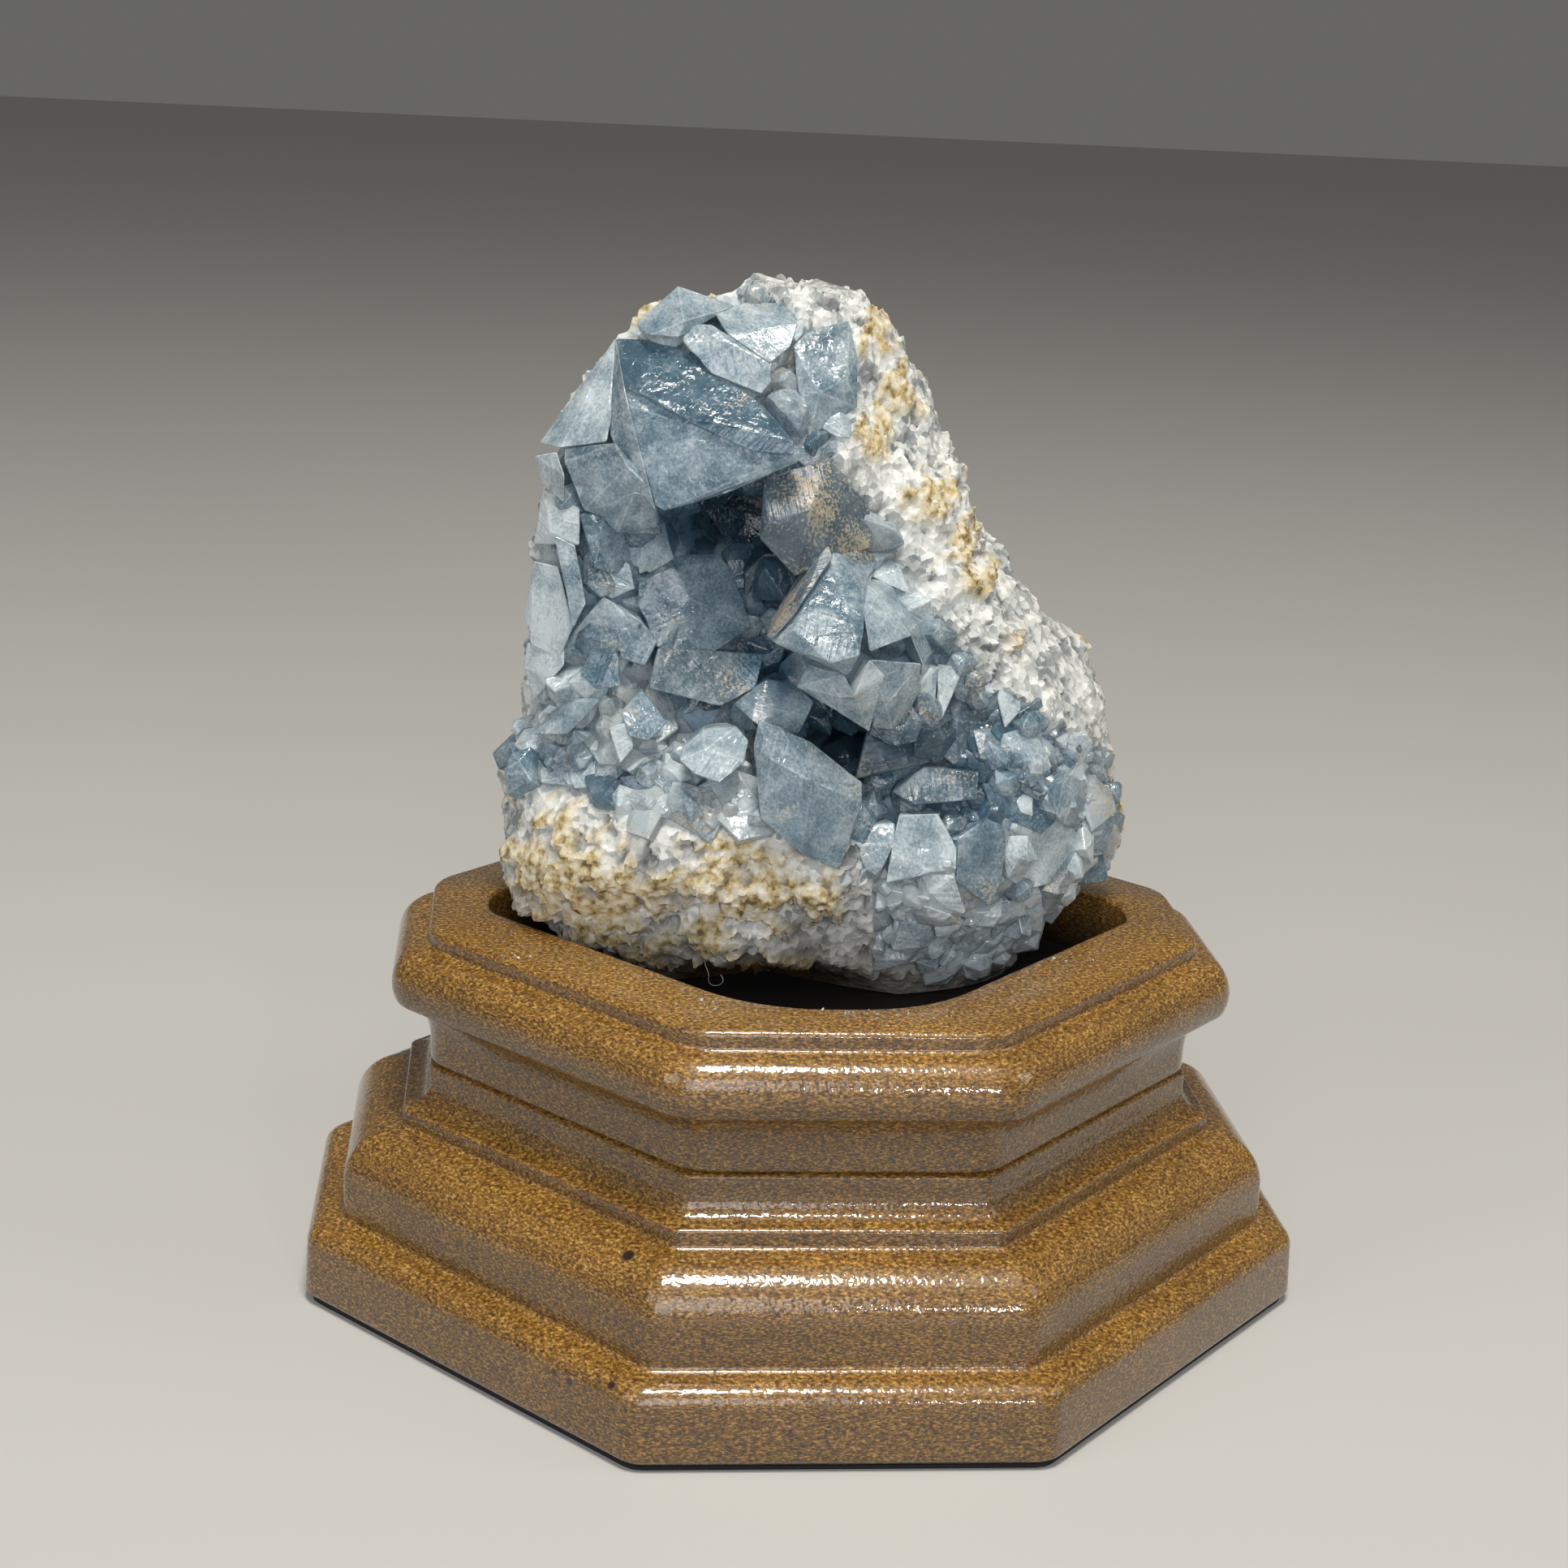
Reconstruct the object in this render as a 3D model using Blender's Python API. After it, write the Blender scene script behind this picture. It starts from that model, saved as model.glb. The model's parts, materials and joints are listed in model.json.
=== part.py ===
"""Celestite geode fragment standing in the routed well of a moulded display stand.

The stand is two glued boards of medium density fibreboard with a felt pad below. The
specimen is a piece of geode wall: a granular rind, hollow at the front, and the crust of
pale blue crystals that grew over the hollow.

Frame: origin at the centre of the stand's underside, +Z up, the front towards -Y.
Sizes are in millimetres and become metres where meshes are made.
"""

import math
import random

import bmesh
import bpy
import numpy as np
from mathutils import Matrix, Vector, noise

MM = 0.001
TOUCH_GAP = 0.3

# Stand, seen from above: a rectangle with four long corner cuts
STAND_WIDTH = 130.0
STAND_DEPTH = 116.8
CORNER_CUT_X = 40.3
CORNER_CUT_Y = 42.0

# Stand, seen from the side
FELT_THICKNESS = 0.5
FELT_INSET = 1.0
LOWER_BOARD_THICKNESS = 29.5
UPPER_BOARD_THICKNESS = 18.0
NECK_INSET = 15.5
STEP_INSET = 4.8
COVE_INSET = 12.2
TORUS_INSET = 10.6
TOP_INSET = 15.2

# Well routed into the upper board for the specimen
WELL_WIDTH = 84.6
WELL_DEPTH_FRONT_TO_BACK = 73.4
WELL_CORNER_DISTANCE = 32.8
WELL_CENTRE_Y = 1.5
WELL_DEPTH = 9.0
WELL_SIDE_RADIUS = 6.5
WELL_FRONT_RADIUS = 21.0

LOWER_BOARD_Z = FELT_THICKNESS + TOUCH_GAP
LOWER_BOARD_TOP = LOWER_BOARD_Z + LOWER_BOARD_THICKNESS
UPPER_BOARD_Z = LOWER_BOARD_TOP + TOUCH_GAP
STAND_TOP = UPPER_BOARD_Z + UPPER_BOARD_THICKNESS
WELL_FLOOR = STAND_TOP - WELL_DEPTH
SPECIMEN_FOOT = WELL_FLOOR + TOUCH_GAP

# Specimen outline at a few heights above its foot: height, left, right, front, back
SPECIMEN_STATIONS = (
    (0.0, -27.0, 27.0, -8.0, 19.0),
    (4.0, -33.0, 31.0, -13.5, 22.0),
    (9.0, -38.6, 35.4, -18.0, 24.5),
    (18.0, -42.4, 39.6, -21.5, 27.0),
    (30.0, -39.8, 39.0, -20.5, 27.0),
    (39.0, -38.4, 36.0, -18.0, 26.0),
    (50.0, -38.0, 28.0, -15.0, 24.0),
    (60.0, -37.6, 20.5, -12.5, 21.0),
    (71.0, -35.0, 14.2, -9.5, 17.5),
    (79.5, -29.0, 11.2, -6.0, 14.5),
    (86.2, -21.0, 7.5, -2.5, 11.5),
    (89.8, -9.0, 2.5, 1.5, 8.0),
)
RIND_LUMP = 3.4
RIND_GRAIN = 1.4

# Regions where crystals grow: centre, radii and the widths of the small crystals there
CRYSTAL_FIELDS = (
    ((-15.0, -20.0, 90.0), (28.0, 33.0, 27.0), (7.0, 10.5)),
    ((-18.5, -6.0, 116.0), (21.5, 17.0, 14.5), (5.0, 8.5)),
    ((23.0, -17.0, 63.0), (20.0, 25.0, 20.5), (5.0, 8.5)),
)
OPEN_HOLLOWS = (
    ((-11.0, -21.0, 88.0), (22.0, 27.0, 22.0)),
    ((11.0, -25.0, 71.0), (15.0, 17.0, 9.0)),
)
CRYSTAL_SPACING = 6.8
CRUST_INSET = 2.6


def arc(centre, radii, start, end, steps):
    """Points on an ellipse, angles in degrees from the outward direction upwards."""
    angles = [math.radians(start + (end - start) * i / steps) for i in range(steps + 1)]
    return [
        (centre[0] - radii[0] * math.cos(a), centre[1] + radii[1] * math.sin(a))
        for a in angles
    ]


def cut_corner_plan(half_width, half_depth, corner_distance, radii, steps=2):
    """Outline of a rectangle with cut corners, rounded by a radius at sides and ends."""
    across = math.hypot(CORNER_CUT_X, CORNER_CUT_Y)
    normal_x = CORNER_CUT_Y / across
    normal_y = CORNER_CUT_X / across
    end_x = (corner_distance - normal_y * half_depth) / normal_x
    side_y = (corner_distance - normal_x * half_width) / normal_y
    quarter = [Vector((half_width, side_y)), Vector((end_x, half_depth))]
    corners = list(quarter)
    corners += [Vector((-p.x, p.y)) for p in reversed(quarter)]
    corners += [Vector((-p.x, -p.y)) for p in quarter]
    corners += [Vector((p.x, -p.y)) for p in reversed(quarter)]
    side_radius, end_radius = radii
    outline = []
    for i, corner in enumerate(corners):
        to_last = (corners[i - 1] - corner).normalized()
        to_next = (corners[(i + 1) % 8] - corner).normalized()
        radius = side_radius if i % 4 in (0, 3) else end_radius
        reach = radius / math.tan(to_last.angle(to_next) / 2)
        start = corner + to_last * reach
        end = corner + to_next * reach
        for step in range(steps + 1):
            t = step / steps
            outline.append(start * (1 - t) ** 2 + corner * 2 * t * (1 - t) + end * t * t)
    return outline


def stand_ring(inset, height, corner_radius):
    """The stand's outline moved in by the inset, as points in space."""
    across = math.hypot(CORNER_CUT_X, CORNER_CUT_Y)
    half_width = STAND_WIDTH / 2
    half_depth = STAND_DEPTH / 2
    front_half = half_width - CORNER_CUT_X
    corner_distance = (CORNER_CUT_Y * front_half + CORNER_CUT_X * half_depth) / across
    plan = cut_corner_plan(
        half_width - inset,
        half_depth - inset,
        corner_distance - inset,
        (corner_radius, corner_radius),
    )
    return [Vector((p.x, p.y, height)) for p in plan]


def loft(name, rings):
    """A closed solid through rings of equally many points, with flat ends."""
    bm = bmesh.new()
    loops = [[bm.verts.new(p * MM) for p in ring] for ring in rings]
    count = len(loops[0])
    for low, high in zip(loops, loops[1:]):
        for i in range(count):
            j = (i + 1) % count
            bm.faces.new((low[i], low[j], high[j], high[i]))
    bm.faces.new(reversed(loops[0]))
    bm.faces.new(loops[-1])
    bmesh.ops.recalc_face_normals(bm, faces=bm.faces)
    return finish_mesh(name, bm)


def finish_mesh(name, bm):
    """Put a bmesh into the scene as an object."""
    mesh = bpy.data.meshes.new(name)
    bm.to_mesh(mesh)
    bm.free()
    item = bpy.data.objects.new(name, mesh)
    bpy.context.scene.collection.objects.link(item)
    return item


def combine(target, tools, operation, solver="EXACT"):
    """Apply Boolean modifiers to an object, one for each tool, and bake the result."""
    for tool in tools:
        modifier = target.modifiers.new(tool.name, "BOOLEAN")
        modifier.solver = solver
        modifier.operation = operation
        modifier.object = tool
    depsgraph = bpy.context.evaluated_depsgraph_get()
    mesh = bpy.data.meshes.new_from_object(target.evaluated_get(depsgraph))
    target.modifiers.clear()
    target.data = mesh
    return target


def keep_largest_body(item):
    """Drop the loose crumbs that a cut leaves beside the main solid."""
    bm = bmesh.new()
    bm.from_mesh(item.data)
    bm.verts.ensure_lookup_table()
    seen = set()
    bodies = []
    for start in bm.verts:
        if start in seen:
            continue
        body = {start}
        front = [start]
        while front:
            vert = front.pop()
            for edge in vert.link_edges:
                other = edge.other_vert(vert)
                if other not in body:
                    body.add(other)
                    front.append(other)
        seen |= body
        bodies.append(body)
    largest = max(bodies, key=len)
    crumbs = [v for v in bm.verts if v not in largest]
    bmesh.ops.delete(bm, geom=crumbs, context="VERTS")
    bm.to_mesh(item.data)
    bm.free()


def ellipsoid(name, centre, radii, shrink=0.0, subdivisions=3):
    """A faceted ellipsoid, its radii reduced by the shrink."""
    bm = bmesh.new()
    bmesh.ops.create_icosphere(bm, subdivisions=subdivisions, radius=1.0)
    size = Vector([(r - shrink) * MM for r in radii])
    bmesh.ops.scale(bm, vec=size, verts=bm.verts)
    bmesh.ops.translate(bm, vec=Vector(centre) * MM, verts=bm.verts)
    return finish_mesh(name, bm)


def material(name, colour, roughness):
    """A plain Principled material in the part's own colour."""
    made = bpy.data.materials.new(name)
    made.use_nodes = True
    shader = made.node_tree.nodes["Principled BSDF"]
    shader.inputs["Base Color"].default_value = (*colour, 1.0)
    shader.inputs["Roughness"].default_value = roughness
    shader.inputs["Metallic"].default_value = 0.0
    return made


# Felt pad


def make_felt_pad():
    """Thin pad glued under the stand, a little smaller than it."""
    corner = 3.0
    rings = [
        stand_ring(FELT_INSET, 0.0, corner),
        stand_ring(FELT_INSET, FELT_THICKNESS, corner),
    ]
    return loft("felt_pad", rings)


# Moulded boards


def lower_board_profile():
    """Inset and height of the lower board's edge: plinth, bead, ovolo and cove."""
    foot = LOWER_BOARD_Z
    bead = 2.6
    ovolo = 6.5
    plinth_top = foot + 7.1
    ledge = plinth_top + bead
    riser_top = ledge + 5.4
    step_top = riser_top + ovolo
    cove_lip = step_top + 2.5
    points = [(0.6, foot), (0.0, foot + 0.6)]
    points += arc((0.3 + bead, plinth_top), (bead, bead), 0, 90, 4)
    points += [(STEP_INSET - 0.4, ledge + 0.1), (STEP_INSET, ledge + 0.5)]
    points += arc((STEP_INSET + ovolo, riser_top), (ovolo, ovolo), 0, 90, 5)
    points += [(COVE_INSET - 0.3, step_top + 0.1), (COVE_INSET, step_top + 0.4)]
    points += [(COVE_INSET, cove_lip - 0.2), (COVE_INSET + 0.2, cove_lip)]
    cove = (NECK_INSET - COVE_INSET - 0.2, 2.9)
    for step in range(1, 5):
        angle = math.radians(90 * step / 4)
        inset = COVE_INSET + 0.2 + cove[0] * math.sin(angle)
        points.append((inset, cove_lip + cove[1] * (1 - math.cos(angle))))
    points.append((NECK_INSET, LOWER_BOARD_TOP))
    return points


def upper_board_profile():
    """Inset and height of the upper board's edge: neck, hollow, torus and top step."""
    foot = UPPER_BOARD_Z
    hollow_foot = foot + 2.5
    hollow_top = foot + 8.3
    torus_centre = (TORUS_INSET + 3.6, foot + 11.0)
    torus_top = torus_centre[1] + 4.5
    points = [(NECK_INSET, foot)]
    for step in range(0, 5):
        angle = math.radians(85 * step / 4)
        inset = NECK_INSET - 3.1 * (1 - math.cos(angle))
        points.append((inset, hollow_foot + (hollow_top - hollow_foot) * math.sin(angle)))
    points += [(TORUS_INSET + 1.1, hollow_top + 0.1)]
    points += arc(torus_centre, (3.6, 4.5), -30, 90, 7)
    points += [(TOP_INSET - 0.3, torus_top + 0.1), (TOP_INSET, torus_top + 0.4)]
    points += [(TOP_INSET, STAND_TOP - 0.4), (TOP_INSET + 0.4, STAND_TOP)]
    return points


def make_lower_board():
    """Lower board of the stand, its edge routed all round."""
    rings = []
    for inset, height in lower_board_profile():
        corner = max(1.2, 4.2 - 0.25 * inset)
        rings.append(stand_ring(inset, height, corner))
    return loft("stand_lower_board", rings)


def make_upper_board():
    """Upper board of the stand, its edge routed and the well sunk in its top."""
    rings = [stand_ring(inset, height, 7.0) for inset, height in upper_board_profile()]
    board = loft("stand_upper_board", rings)
    plan = cut_corner_plan(
        WELL_WIDTH / 2,
        WELL_DEPTH_FRONT_TO_BACK / 2,
        WELL_CORNER_DISTANCE,
        (WELL_SIDE_RADIUS, WELL_FRONT_RADIUS),
        steps=5,
    )
    clearance = 2.0
    heights = (WELL_FLOOR, STAND_TOP + clearance)
    rings = [[Vector((p.x, p.y + WELL_CENTRE_Y, z)) for p in plan] for z in heights]
    well = loft("well_cutter", rings)
    return combine(board, [well], "DIFFERENCE"), well


# Specimen


def station_at(height):
    """Left, right, front and back of the specimen at a height above its foot."""
    table = np.array(SPECIMEN_STATIONS)
    smooth = np.linspace(-2.0, 2.0, 5)
    values = [np.interp(height + smooth, table[:, 0], table[:, k]) for k in range(1, 5)]
    return [float(np.mean(v)) for v in values]


def specimen_body(name, inset=0.0):
    """The whole lump of geode wall before its hollow is taken out, moved in by the inset."""
    top = SPECIMEN_STATIONS[-1][0]
    levels = 24
    around = 40
    squareness = 0.94
    rings = []
    for level in range(levels + 1):
        height = top * (1 - (1 - level / levels) ** 1.4)
        left, right, front, back = station_at(height)
        ring = []
        for step in range(around):
            angle = 2 * math.pi * step / around
            c = math.copysign(abs(math.cos(angle)) ** squareness, math.cos(angle))
            s = math.copysign(abs(math.sin(angle)) ** squareness, math.sin(angle))
            x = (left + right) / 2 + ((right - left) / 2 - inset) * c
            y = (front + back) / 2 + ((back - front) / 2 - inset) * s
            ring.append(Vector((x, y, SPECIMEN_FOOT + height)))
        rings.append(ring)
    centre = Vector((-2.0, 3.0, SPECIMEN_FOOT + 45.0))
    for ring in rings[1:]:
        for point in ring:
            out = (point - centre).normalized()
            lump = noise.noise(point / 13.0) * RIND_LUMP
            grain = noise.noise(point / 5.0) * RIND_GRAIN
            height = point.z - SPECIMEN_FOOT
            rise = min(1.0, height / 12.0, 0.3 + (top - height) / 12.0)
            point += out * (lump + grain) * rise
    return loft(name, rings)


def make_rind(fields):
    """Granular geode wall: the lump less the hollow that the crystals fill."""
    rind = specimen_body("geode_rind")
    combine(rind, fields, "DIFFERENCE", solver="MANIFOLD")
    keep_largest_body(rind)
    return rind


def crystal(name, foot, tip, width, sides, squash, twist, blunt):
    """One crystal: a prism from foot to tip whose end narrows to a blunt point."""
    axis = Vector(tip) - Vector(foot)
    length = axis.length
    shoulder = max(0.25, 1.0 - 0.55 * width / length)
    turn = axis.to_track_quat("Z", "Y").to_matrix().to_4x4()
    place = Matrix.Translation(Vector(foot)) @ turn @ Matrix.Rotation(twist, 4, "Z")
    rings = []
    for along, scale in ((0.0, 0.8), (shoulder, 1.0), (1.0, blunt)):
        ring = []
        for side in range(sides):
            angle = 2 * math.pi * side / sides
            x = math.cos(angle) * width / 2 * scale
            y = math.sin(angle) * width / 2 * scale * squash
            ring.append(place @ Vector((x, y, along * length)))
        rings.append(ring)
    return loft(name, rings)


# Large crystals, each with its foot, its tip, its width and how flat it is
LARGE_CRYSTALS = (
    # broad plate that overhangs the hollow like a roof
    ((-27.5, 3.0, 118.0), (-9.5, -15.0, 107.5), 20.5, 0.62),
    ((-31.0, 2.0, 112.0), (-19.0, -13.0, 104.5), 12.0, 0.8),
    # clear points on the upper left edge
    ((-19.0, 6.0, 116.0), (-21.5, 0.0, 126.0), 8.5, 0.8),
    ((-13.0, 8.0, 114.0), (-15.0, -2.0, 125.5), 9.0, 0.7),
    ((-8.0, 8.0, 112.0), (-10.0, -6.0, 120.0), 10.0, 0.7),
    # upright block below the top
    ((-2.0, 6.0, 108.0), (-3.0, -8.0, 120.5), 8.5, 0.9),
    ((-3.0, 6.0, 106.0), (-1.5, -9.0, 113.0), 8.0, 0.9),
    # dusty grey crystals beside the deep hole
    ((2.0, 8.0, 104.0), (-4.0, -11.0, 102.5), 14.0, 0.8),
    ((6.0, 4.0, 98.0), (2.0, -12.0, 99.0), 9.0, 0.9),
    # large crystal that stands out from the middle of the hollow
    ((11.0, 8.0, 84.0), (-1.0, -27.0, 88.0), 22.0, 0.85),
    ((14.0, 2.0, 84.0), (11.0, -22.0, 82.0), 13.0, 0.9),
    ((10.0, 4.0, 74.0), (6.0, -23.0, 79.0), 13.0, 0.8),
    # left wall of blunt crystals
    ((-35.0, 6.0, 100.0), (-27.0, -11.0, 99.0), 12.0, 0.9),
    ((-32.0, 8.0, 93.0), (-22.0, -10.0, 93.0), 15.0, 0.9),
    ((-35.0, 4.0, 86.0), (-31.0, -13.0, 86.0), 12.0, 0.9),
    ((-26.0, 8.0, 80.0), (-19.0, -10.0, 82.0), 14.0, 0.9),
    # blue point at the lower edge, and its neighbours
    ((5.0, -6.0, 54.0), (-7.0, -22.0, 79.5), 16.0, 0.6),
    ((-12.0, -4.0, 60.0), (-15.0, -20.0, 74.0), 9.5, 0.8),
    ((12.0, -4.0, 56.0), (9.0, -22.0, 66.0), 11.0, 0.8),
    # dark crystals on the right wall
    ((22.0, 6.0, 76.0), (14.0, -10.0, 74.0), 12.0, 0.8),
    ((28.0, 4.0, 66.0), (22.0, -14.0, 66.0), 12.0, 0.9),
    # grey point that juts out over the rim of the well
    ((28.0, 2.0, 57.0), (40.0, 0.0, 51.5), 8.0, 0.7),
)


def crust_depth(x, z):
    """Y of the crust before its crystals: the lump's front or the back of the hollow."""
    left, right, front, back = station_at(z - SPECIMEN_FOOT)
    half_width = (right - left) / 2 - CRUST_INSET
    half_depth = (back - front) / 2 - CRUST_INSET
    across = min(1.0, abs(x - (left + right) / 2) / half_width)
    y = (front + back) / 2 - half_depth * math.sqrt(1 - across**2)
    for centre, radii in OPEN_HOLLOWS:
        off_x = (x - centre[0]) / radii[0]
        off_z = (z - centre[2]) / radii[2]
        if math.hypot(off_x, off_z) < 1:
            y = max(y, centre[1] + radii[1] * math.sqrt(1 - off_x**2 - off_z**2))
    return y


def growth_direction(x, z):
    """The way a small crystal grows: off the crust's surface and towards the front."""
    step = 2.0
    slope_x = (crust_depth(x + step, z) - crust_depth(x - step, z)) / (2 * step)
    slope_z = (crust_depth(x, z + step) - crust_depth(x, z - step)) / (2 * step)
    slopes = [max(-1.5, min(1.5, slope)) for slope in (slope_x, slope_z)]
    return Vector((slopes[0], -1.0, slopes[1])).normalized()


def small_crystal_places(rng):
    """Jittered places seen from the front, each inside a field, with its crystal width."""
    rows = 14
    columns = 12
    places = []
    for row in range(rows):
        for column in range(columns):
            x = -41.0 + (column + 0.5 * (row % 2)) * CRYSTAL_SPACING + rng.uniform(-1.6, 1.6)
            z = 44.0 + row * CRYSTAL_SPACING * 0.87 + rng.uniform(-1.6, 1.6)
            for centre, radii, widths in CRYSTAL_FIELDS:
                off = math.hypot((x - centre[0]) / radii[0], (z - centre[2]) / radii[2])
                if off < 0.97:
                    places.append((x, z, rng.uniform(*widths)))
                    break
    return places


def is_behind_large_crystal(x, z):
    """True where a large crystal already covers the crust."""
    for foot, tip, width, _ in LARGE_CRYSTALS:
        for along in (0.5, 0.9):
            middle_x = foot[0] + (tip[0] - foot[0]) * along
            middle_z = foot[2] + (tip[2] - foot[2]) * along
            if math.hypot(x - middle_x, z - middle_z) < 0.36 * width:
                return True
    return False


def make_crystals(seed=7):
    """All crystals as separate solids, ready to be fused."""
    rng = random.Random(seed)
    crystals = []
    for foot, tip, width, squash in LARGE_CRYSTALS:
        twist = rng.uniform(0, math.pi)
        name = f"crystal_{len(crystals)}"
        crystals.append(crystal(name, foot, tip, width, 5, squash, twist, 0.42))
    for x, z, width in small_crystal_places(rng):
        lean = Vector([rng.uniform(-0.35, 0.35) for _ in range(3)])
        direction = (growth_direction(x, z) + lean).normalized()
        squash = rng.uniform(0.65, 1.0)
        twist = rng.uniform(0, math.pi)
        blunt = rng.uniform(0.2, 0.45)
        sides = rng.choice((4, 5))
        if is_behind_large_crystal(x, z):
            continue
        tip = Vector((x, crust_depth(x, z), z)) + direction * width * 0.85
        foot = tip - direction * (width + 4.0)
        name = f"crystal_{len(crystals)}"
        crystals.append(crystal(name, foot, tip, width, sides, squash, twist, blunt))
    return crystals


def make_crust(inner_fields, open_hollows):
    """Crust of crystals: a lining of the hollow with every crystal fused to it."""
    reach = inner_fields[0]
    combine(reach, inner_fields[1:], "UNION")
    crust = specimen_body("crystal_crust", CRUST_INSET)
    combine(crust, open_hollows, "DIFFERENCE")
    crystals = make_crystals()
    combine(crust, crystals, "UNION", solver="MANIFOLD")
    combine(crust, [reach], "INTERSECT", solver="MANIFOLD")
    keep_largest_body(crust)
    return crust, crystals


def collect(name, items, cutters=False):
    """Move objects into a collection of their own."""
    group = bpy.data.collections.new(name)
    bpy.context.scene.collection.children.link(group)
    for item in items:
        for home in list(item.users_collection):
            home.objects.unlink(item)
        group.objects.link(item)
        if cutters:
            item.hide_render = True
            item.display_type = "WIRE"


def main():
    """Build the stand and the specimen."""
    for old in list(bpy.data.objects):
        bpy.data.objects.remove(old, do_unlink=True)

    felt = make_felt_pad()
    lower = make_lower_board()
    upper, well = make_upper_board()

    fields = []
    inner = []
    for i, (centre, radii, _) in enumerate(CRYSTAL_FIELDS):
        fields.append(ellipsoid(f"hollow_{i}", centre, radii))
        inner.append(ellipsoid(f"crust_reach_{i}", centre, radii, shrink=TOUCH_GAP))
    hollows = [ellipsoid(f"open_hollow_{i}", c, r) for i, (c, r) in enumerate(OPEN_HOLLOWS)]
    rind = make_rind(fields)
    crust, crystals = make_crust(inner, hollows)

    felt.data.materials.append(material("black_felt", (0.012, 0.012, 0.013), 0.95))
    board = material("lacquered_fibreboard", (0.32, 0.19, 0.075), 0.25)
    lower.data.materials.append(board)
    upper.data.materials.append(board)
    rind.data.materials.append(material("granular_rind", (0.6, 0.58, 0.53), 0.85))
    crust.data.materials.append(material("celestite", (0.24, 0.36, 0.46), 0.2))

    collect("celestite_cluster", [felt, lower, upper, rind, crust])
    collect("cutters", [well, *hollows, *crystals, *fields, *inner], cutters=True)


main()
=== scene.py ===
"""Looks of a celestite geode piece that stands in the well of a moulded display stand."""

import json
import math
import random

import bmesh
import bpy
import numpy as np
from mathutils import Euler, Matrix, Vector, noise
from mathutils.bvhtree import BVHTree
from mathutils.kdtree import KDTree

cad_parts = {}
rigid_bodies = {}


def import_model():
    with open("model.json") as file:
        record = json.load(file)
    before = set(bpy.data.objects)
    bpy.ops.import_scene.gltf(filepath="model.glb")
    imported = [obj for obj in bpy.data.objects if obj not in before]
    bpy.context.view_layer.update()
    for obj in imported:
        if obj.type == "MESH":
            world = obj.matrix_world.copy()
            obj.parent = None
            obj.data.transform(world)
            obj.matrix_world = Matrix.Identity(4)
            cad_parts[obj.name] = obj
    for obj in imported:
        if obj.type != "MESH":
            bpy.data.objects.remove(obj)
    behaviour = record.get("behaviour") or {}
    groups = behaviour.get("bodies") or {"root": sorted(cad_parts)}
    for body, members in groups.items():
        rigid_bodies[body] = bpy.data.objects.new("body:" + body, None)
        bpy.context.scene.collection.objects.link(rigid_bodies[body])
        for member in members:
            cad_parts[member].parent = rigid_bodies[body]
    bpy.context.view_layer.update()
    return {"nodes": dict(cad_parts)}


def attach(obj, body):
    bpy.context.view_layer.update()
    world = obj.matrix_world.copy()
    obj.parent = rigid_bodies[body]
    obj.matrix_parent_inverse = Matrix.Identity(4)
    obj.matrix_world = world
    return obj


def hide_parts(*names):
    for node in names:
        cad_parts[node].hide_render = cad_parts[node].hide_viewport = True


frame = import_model()


# Felt pad: needled black wool felt glued under the stand, a little smaller than it.
# The node keeps its shape. Felt scatters light in its loose fibres, so it stays dark
# and dull with a faint fibrous mottle.

MM = 0.001


def linear(hex_colour):
    """A colour written as sRGB hex, as linear red, green, blue and alpha."""
    channels = [int(hex_colour[i:i + 2], 16) / 255 for i in (1, 3, 5)]
    return [((c + 0.055) / 1.055) ** 2.4 if c > 0.04045 else c / 12.92 for c in channels] + [1.0]


def feed(tree, node, inputs):
    """Give sockets their values or hex colours, or link them from sockets or nodes."""
    for name, value in inputs.items():
        if isinstance(value, str):
            value = linear(value)
        if isinstance(value, bpy.types.Node):
            value = next(output for output in value.outputs if output.enabled)
        if isinstance(value, bpy.types.NodeSocket):
            tree.links.new(value, node.inputs[name])
        else:
            node.inputs[name].default_value = value


def add(tree, kind, inputs=None, width=None, span=(), stops=(), **settings):
    """Add a shader node with its settings, values and links. A width in millimetres makes it
    a pattern of that size on the piece, a span gives a range's ends, stops a ramp's colours."""
    node = tree.nodes.new("ShaderNode" + kind)
    values = dict(zip(("From Min", "From Max", "To Min", "To Max"), span))
    if width:
        values["Vector"] = tree.nodes["Texture Coordinate"].outputs["Object"]
        values["Scale"] = 1 / (width * MM)
    for name, value in settings.items():
        setattr(node, name, value)
    for position, colour in stops:
        node.color_ramp.elements.new(position).color = linear(colour)
    if stops:
        node.color_ramp.elements.remove(node.color_ramp.elements[0])
        node.color_ramp.elements.remove(node.color_ramp.elements[-1])
    feed(tree, node, {**values, **(inputs or {})})
    return node


def start_material(name):
    """A new material, its node tree, its Principled shader and the place on the piece."""
    made = bpy.data.materials.new(name)
    made.use_nodes = True
    tree = made.node_tree
    return made, tree, tree.nodes["Principled BSDF"], add(tree, "TexCoord").outputs["Object"]


FELT_FIBRE = 0.6
felt_material, tree, shader, _ = start_material("needled_wool_felt")
fibres = add(tree, "TexNoise", {"Detail": 3.0}, width=FELT_FIBRE)
shade = add(tree, "MixRGB", {"Fac": fibres, "Color1": "#0C0C0D", "Color2": "#26262A"})
bump = add(tree, "Bump", {"Height": fibres, "Strength": 0.4, "Distance": 0.1 * MM})
feed(tree, shader, {"Base Color": shade, "Normal": bump, "Roughness": 0.95})
frame["nodes"]["felt_pad"].data.materials.clear()
frame["nodes"]["felt_pad"].data.materials.append(felt_material)


# Stand boards: two sheets of medium density fibreboard, 30 and 18 mm, cut to a rectangle
# with long corner cuts, their edges routed with moulding bits, sanded, glued and flooded
# with clear lacquer. The lacquer pools in the creases and softens every arris.

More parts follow.
